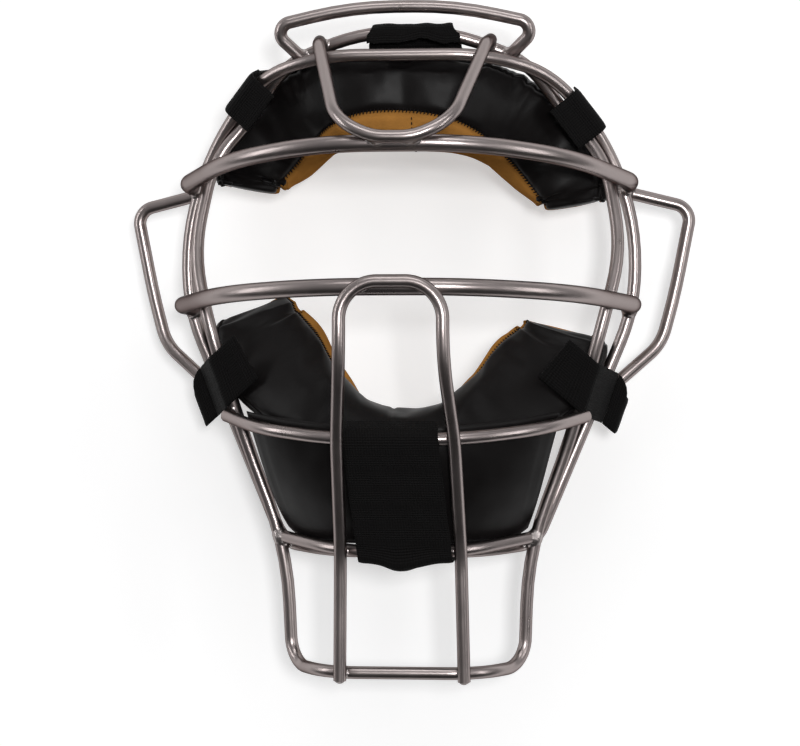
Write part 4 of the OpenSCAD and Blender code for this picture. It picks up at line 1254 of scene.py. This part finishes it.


# Tan cowhide split, matt: a close pebble grain of 1 mm, blotches a centimetre
# wide, and painted shade: a darker line along the stitched edge
def leather_material(name):
    material, tree = new_material(name)
    at = add_node(tree, "ShaderNodeTexCoord").outputs["Object"]
    grain = add_node(tree, "ShaderNodeTexVoronoi", {"Vector": at, "Scale": 1000.0})
    blotch = add_node(tree, "ShaderNodeTexNoise", {
        "Vector": at, "Scale": 90.0, "Detail": 6.0, "Roughness": 0.6})
    base = paint("leather")
    shade = add_node(tree, "ShaderNodeMix", {
        0: blotch.outputs["Fac"], 6: tint(base, 0.68), 7: tint(base, 1.25)}, data_type="RGBA")
    # painted shade: within 3 mm of the stitched edge the colour falls to 0.62 of itself
    edge = add_node(tree, "ShaderNodeUVMap")
    place = add_node(tree, "ShaderNodeSeparateXYZ", {0: edge.outputs[0]})
    near = add_node(tree, "ShaderNodeMapRange", {
        "Value": place.outputs[0], 1: 0.4, 2: 3.0, 3: 0.62, 4: 1.0})
    seam_shade = add_node(tree, "ShaderNodeMix", {
        0: 1.0, 6: shade.outputs[2], 7: near.outputs[0]}, data_type="RGBA", blend_type="MULTIPLY")
    bump = add_node(tree, "ShaderNodeBump", {
        "Strength": 0.35, "Distance": 0.0003, "Height": grain.outputs["Distance"]})
    shader = add_node(tree, "ShaderNodeBsdfPrincipled", {
        "Base Color": seam_shade.outputs[2], "Roughness": 0.9, "Specular IOR Level": 0.0,
        "Normal": bump.outputs[0]})
    close_material(tree, shader)
    return material


# Woven polypropylene webbing, at its real size: ribs that run across the band,
# 1.1 mm apart, and a twill whose slanting lines are 1.8 mm apart. Its colour
# follows the weave's height: painted highlight on the raised threads, painted shade in the hollows
def webbing_material(name):
    rib, twill = 1.1, 2.5
    material, tree = new_material(name)
    uv = add_node(tree, "ShaderNodeUVMap")
    place = add_node(tree, "ShaderNodeSeparateXYZ", {0: uv.outputs[0]})
    u, v = place.outputs[0], place.outputs[1]

    def wave(value, period):
        turn = add_node(tree, "ShaderNodeMath", {0: value, 1: 2 * math.pi / period}, operation="MULTIPLY")
        return add_node(tree, "ShaderNodeMath", {0: turn.outputs[0]}, operation="SINE").outputs[0]

    rise = add_node(tree, "ShaderNodeMath", {0: u, 1: v}, operation="ADD").outputs[0]
    fall = add_node(tree, "ShaderNodeMath", {0: u, 1: v}, operation="SUBTRACT").outputs[0]
    lozenge = add_node(tree, "ShaderNodeMath", {
        0: wave(rise, twill), 1: wave(fall, twill)}, operation="MULTIPLY").outputs[0]
    cloth = add_node(tree, "ShaderNodeMath", {
        0: wave(v, rib), 1: 0.5, 2: lozenge}, operation="MULTIPLY_ADD").outputs[0]
    fuzz = add_node(tree, "ShaderNodeTexNoise", {"Vector": uv.outputs[0], "Scale": 1.7, "Detail": 4.0})
    height = add_node(tree, "ShaderNodeMath", {
        0: fuzz.outputs["Fac"], 1: 1.2, 2: cloth}, operation="MULTIPLY_ADD").outputs[0]
    bump = add_node(tree, "ShaderNodeBump", {"Strength": 0.5, "Distance": 0.00035, "Height": height})
    # painted highlight and shade: the colour goes from 0.45 to 1.7 times the webbing colour with the height
    # of the weave
    level = add_node(tree, "ShaderNodeMapRange", {"Value": height, 1: -1.4, 2: 2.4, 3: 0.0, 4: 1.0})
    base = paint("webbing")
    shade = add_node(tree, "ShaderNodeMix", {
        0: level.outputs[0], 6: tint(base, 0.45), 7: tint(base, 1.7)}, data_type="RGBA")
    shader = add_node(tree, "ShaderNodeBsdfPrincipled", {
        "Base Color": shade.outputs[2], "Roughness": 0.8, "Specular IOR Level": 0.1,
        "Sheen Weight": 0.01, "Sheen Roughness": 0.4, "Normal": bump.outputs[0]})
    close_material(tree, shader)
    return material


# Bonded nylon sewing thread, three-ply: a tight twist shows as fine stripes
def thread_material(name):
    material, tree = new_material(name)
    at = add_node(tree, "ShaderNodeTexCoord").outputs["Object"]
    twist = add_node(tree, "ShaderNodeTexWave", {"Vector": at, "Scale": 900.0, "Distortion": 1.0})
    base = paint("thread")
    shade = add_node(tree, "ShaderNodeMix", {
        0: twist.outputs["Fac"], 6: tint(base, 0.6), 7: tint(base, 1.4)}, data_type="RGBA")
    shader = add_node(tree, "ShaderNodeBsdfPrincipled", {
        "Base Color": shade.outputs[2], "Roughness": 0.85, "Specular IOR Level": 0.1})
    close_material(tree, shader)
    return material


# Stage, in metres. The mask lies with its back on a white table, seen from above,
# so the table stands upright behind it.

TABLE_HALF, TABLE_BACK = 2.5, 0.041
TABLE_LIFT = 0.44
DARK_BELOW, LIGHT_ABOVE = 0.05, 0.5
CAMERA_AWAY, CAMERA_TURN, CAMERA_AIM_X, CAMERA_LENS = 1.3, 5.5, -0.0048, 121.9
# name, place, width, height, power in watts
LAMPS = (
    ("key", (0.43, -2.3, 0.16), 0.34, 0.34, 24),
    ("left_box", (-1.45, -0.6, 0.35), 0.25, 1.1, 4.5),
    ("right_box", (1.3, -0.95, 0.1), 0.2, 1.1, 4),
    ("top_box", (0, -1.2, 1.6), 1.3, 0.45, 7))


# White laminate table top, matt. It shows itself lighter than it lights the mask,
# and from under the table it is clear, so that the mask's back can be looked at.
def table_material(name):
    material, tree = new_material(name)
    path = add_node(tree, "ShaderNodeLightPath")
    side = add_node(tree, "ShaderNodeNewGeometry")
    seen = add_node(tree, "ShaderNodeMath", {
        0: path.outputs["Is Camera Ray"], 1: path.outputs["Is Glossy Ray"]}, operation="MAXIMUM")
    lift = add_node(tree, "ShaderNodeMath", {0: seen.outputs[0], 1: TABLE_LIFT}, operation="MULTIPLY")
    diffuse = add_node(tree, "ShaderNodeBsdfDiffuse", {"Color": paint("floor")})
    glow = add_node(tree, "ShaderNodeEmission", {"Color": (1, 1, 1, 1), "Strength": lift.outputs[0]})
    both = add_node(tree, "ShaderNodeAddShader", {0: diffuse.outputs[0], 1: glow.outputs[0]})
    clear = add_node(tree, "ShaderNodeBsdfTransparent")
    mix = add_node(tree, "ShaderNodeMixShader", {
        0: side.outputs["Backfacing"], 1: both.outputs[0], 2: clear.outputs[0]})
    close_material(tree, mix)
    return material


def lay_table():
    s, y = TABLE_HALF * 1000, TABLE_BACK * 1000
    table = make_object("table", [(-s, y, -s), (s, y, -s), (s, y, s), (-s, y, s)], [(0, 1, 2, 3)])
    table.data.materials.append(material_of("white_table", table_material))


def light_world(scene):
    """White to the camera; on the mask dark from below and light from above."""
    world = bpy.data.worlds.new("studio")
    scene.world = world
    world.use_nodes = True
    tree = world.node_tree
    tree.nodes.clear()
    path = add_node(tree, "ShaderNodeLightPath")
    seen = add_node(tree, "ShaderNodeMath", {
        0: path.outputs["Is Camera Ray"], 1: path.outputs["Is Transmission Ray"]}, operation="MAXIMUM")
    around = add_node(tree, "ShaderNodeTexCoord").outputs["Generated"]
    way = add_node(tree, "ShaderNodeSeparateXYZ", {0: around})
    level = add_node(tree, "ShaderNodeMapRange", {
        "Value": way.outputs["Z"], 1: -0.6, 2: 0.7, 3: DARK_BELOW, 4: LIGHT_ABOVE})
    dim = add_node(tree, "ShaderNodeBackground", {
        "Color": (0.84, 0.84, 0.85, 1), "Strength": level.outputs[0]})
    white = add_node(tree, "ShaderNodeBackground", {"Color": (1, 1, 1, 1), "Strength": 1.0})
    mix = add_node(tree, "ShaderNodeMixShader", {0: seen.outputs[0], 1: dim.outputs[0], 2: white.outputs[0]})
    out = add_node(tree, "ShaderNodeOutputWorld")
    tree.links.new(mix.outputs[0], out.inputs["Surface"])


def hang_lamps(scene):
    for name, place, width, height, power in LAMPS:
        data = bpy.data.lights.new(name, "AREA")
        data.shape, data.size, data.size_y, data.energy = "RECTANGLE", width, height, power
        lamp = bpy.data.objects.new(name, data)
        lamp.location = place
        lamp.rotation_euler = (-Vector(place)).to_track_quat("-Z", "Y").to_euler()
        scene.collection.objects.link(lamp)


def set_camera(scene):
    data = bpy.data.cameras.new("camera")
    data.sensor_width, data.lens = 36.0, CAMERA_LENS
    data.clip_start, data.clip_end = 0.05, 50
    camera = bpy.data.objects.new("camera", data)
    turn = math.radians(CAMERA_TURN)
    way = Vector((-math.sin(turn), math.cos(turn), 0))
    camera.location = Vector((CAMERA_AIM_X, 0, 0)) - way * CAMERA_AWAY
    camera.rotation_euler = way.to_track_quat("-Z", "Y").to_euler()
    scene.collection.objects.link(camera)
    scene.camera = camera


# Operators

class MASK_OT_cage(bpy.types.Operator):
    """Bend the tubes of the cage"""
    bl_idname = "mask.cage"
    bl_label = "Cage"

    def execute(self, context):
        steel = material_of("pewter_steel", steel_material)
        for name, (route, d, closed) in cage_routes().items():
            obj = tube(name + "_tube", centreline(route, closed), d, steel, closed)
            piece(obj, "cage", "powder_coated_steel", steel, name)
        return {"FINISHED"}


class MASK_OT_welds(bpy.types.Operator):
    """Run the weld metal into the corners between the tubes"""
    bl_idname = "mask.welds"
    bl_label = "Welds"

    def execute(self, context):
        metal = material_of("weld_metal", weld_material)
        lines = {}
        for name, (route, d, closed) in cage_routes().items():
            lines[name] = (closed_line(route) if closed else centreline(route), d / 2)
        points, faces, count = [], [], 0
        for names, near, reach, fill in weld_joints(lines):
            centre = meeting(lines[names[0]][0], lines[names[1]][0], near)
            more, quads = weld_patch([lines[name] for name in names], centre, reach, fill)
            points.append(more)
            faces.append(quads + count)
            count += len(more)
        faces = [tuple(int(v) for v in quad) for quad in np.concatenate(faces)]
        obj = outward(make_object("weld_seams", np.concatenate(points), faces))
        piece(obj, "cage", "powder_coated_steel", metal, "weld_beads")
        return {"FINISHED"}


class MASK_OT_forehead_pad(bpy.types.Operator):
    """Sew the forehead pad"""
    bl_idname = "mask.forehead_pad"
    bl_label = "Forehead pad"

    def execute(self, context):
        grid, normals = sew_pad("forehead", FOREHEAD_WELT)
        thread = material_of("black_thread", thread_material)
        # a seam runs across the leather a little to the right of the middle
        row = int(np.argmin(np.abs(grid[:, 2 * FRONT, 0] - SEAM_X)))
        columns = range(2 * FRONT + SEAM_START, 2 * FRONT + SEAM_STOP)
        line = [Vector(grid[row, k] + normals[row, k] * 0.15) for k in columns]
        ways = [Vector(normals[row, k]) for k in columns]
        seam = stitches("forehead_seam", line, ways, SEAM_PITCH, SEAM_LENGTH, SEAM_THICKNESS, 0, thread)
        piece(seam, "cage", "black_vinyl", thread)
        return {"FINISHED"}


class MASK_OT_chin_pad(bpy.types.Operator):
    """Sew the chin pad"""
    bl_idname = "mask.chin_pad"
    bl_label = "Chin pad"

    def execute(self, context):
        sew_pad("chin", CHIN_WELT)
        return {"FINISHED"}


class MASK_OT_flap(bpy.types.Operator):
    """Hang the flap from the chin pad"""
    bl_idname = "mask.flap"
    bl_label = "Flap"

    def execute(self, context):
        vinyl = material_of("pad_vinyl", vinyl_material)
        flap = flap_skin("chin_flap_vinyl")
        piece(flap, "cage", "black_vinyl", vinyl, "chin_flap")
        return {"FINISHED"}


class MASK_OT_straps(bpy.types.Operator):
    """Wrap the webbing straps and their tabs round the tubes"""
    bl_idname = "mask.straps"
    bl_label = "Straps"

    def execute(self, context):
        rings = ring_lines()
        forehead_straps(rings)
        chin_straps(rings)
        top_strap()
        bottom_strap()
        return {"FINISHED"}


class MASK_OT_stage(bpy.types.Operator):
    """Set the table, the lamps and the camera"""
    bl_idname = "mask.stage"
    bl_label = "Stage"

    def execute(self, context):
        context.scene.view_settings.view_transform = "Standard"
        lay_table()
        light_world(context.scene)
        hang_lamps(context.scene)
        set_camera(context.scene)
        return {"FINISHED"}


class MASK_PT_panel(bpy.types.Panel):
    """Sizes and colours of the mask"""
    bl_idname = "MASK_PT_panel"
    bl_label = "Umpire Mask"
    bl_space_type = "VIEW_3D"
    bl_region_type = "UI"
    bl_category = "Mask"

    def draw(self, context):
        layout = self.layout
        for group in (context.scene.mask_sizes, context.scene.mask_colours):
            column = layout.column(align=True)
            for key in group.__annotations__:
                column.prop(group, key)
        for cls in OPERATORS:
            layout.operator(cls.bl_idname)


OPERATORS = (MASK_OT_cage, MASK_OT_welds, MASK_OT_forehead_pad, MASK_OT_chin_pad, MASK_OT_flap,
             MASK_OT_straps, MASK_OT_stage)
CLASSES = (MaskSizes, MaskColours, *OPERATORS, MASK_PT_panel)


def register():
    for cls in CLASSES:
        bpy.utils.register_class(cls)
    bpy.types.Scene.mask_sizes = PointerProperty(type=MaskSizes)
    bpy.types.Scene.mask_colours = PointerProperty(type=MaskColours)


def unregister():
    del bpy.types.Scene.mask_colours
    del bpy.types.Scene.mask_sizes
    for cls in reversed(CLASSES):
        bpy.utils.unregister_class(cls)


def main():
    register()
    for run in (bpy.ops.mask.cage, bpy.ops.mask.welds, bpy.ops.mask.forehead_pad, bpy.ops.mask.chin_pad,
                bpy.ops.mask.flap, bpy.ops.mask.straps, bpy.ops.mask.stage):
        run()


if __name__ == "__main__":
    main()
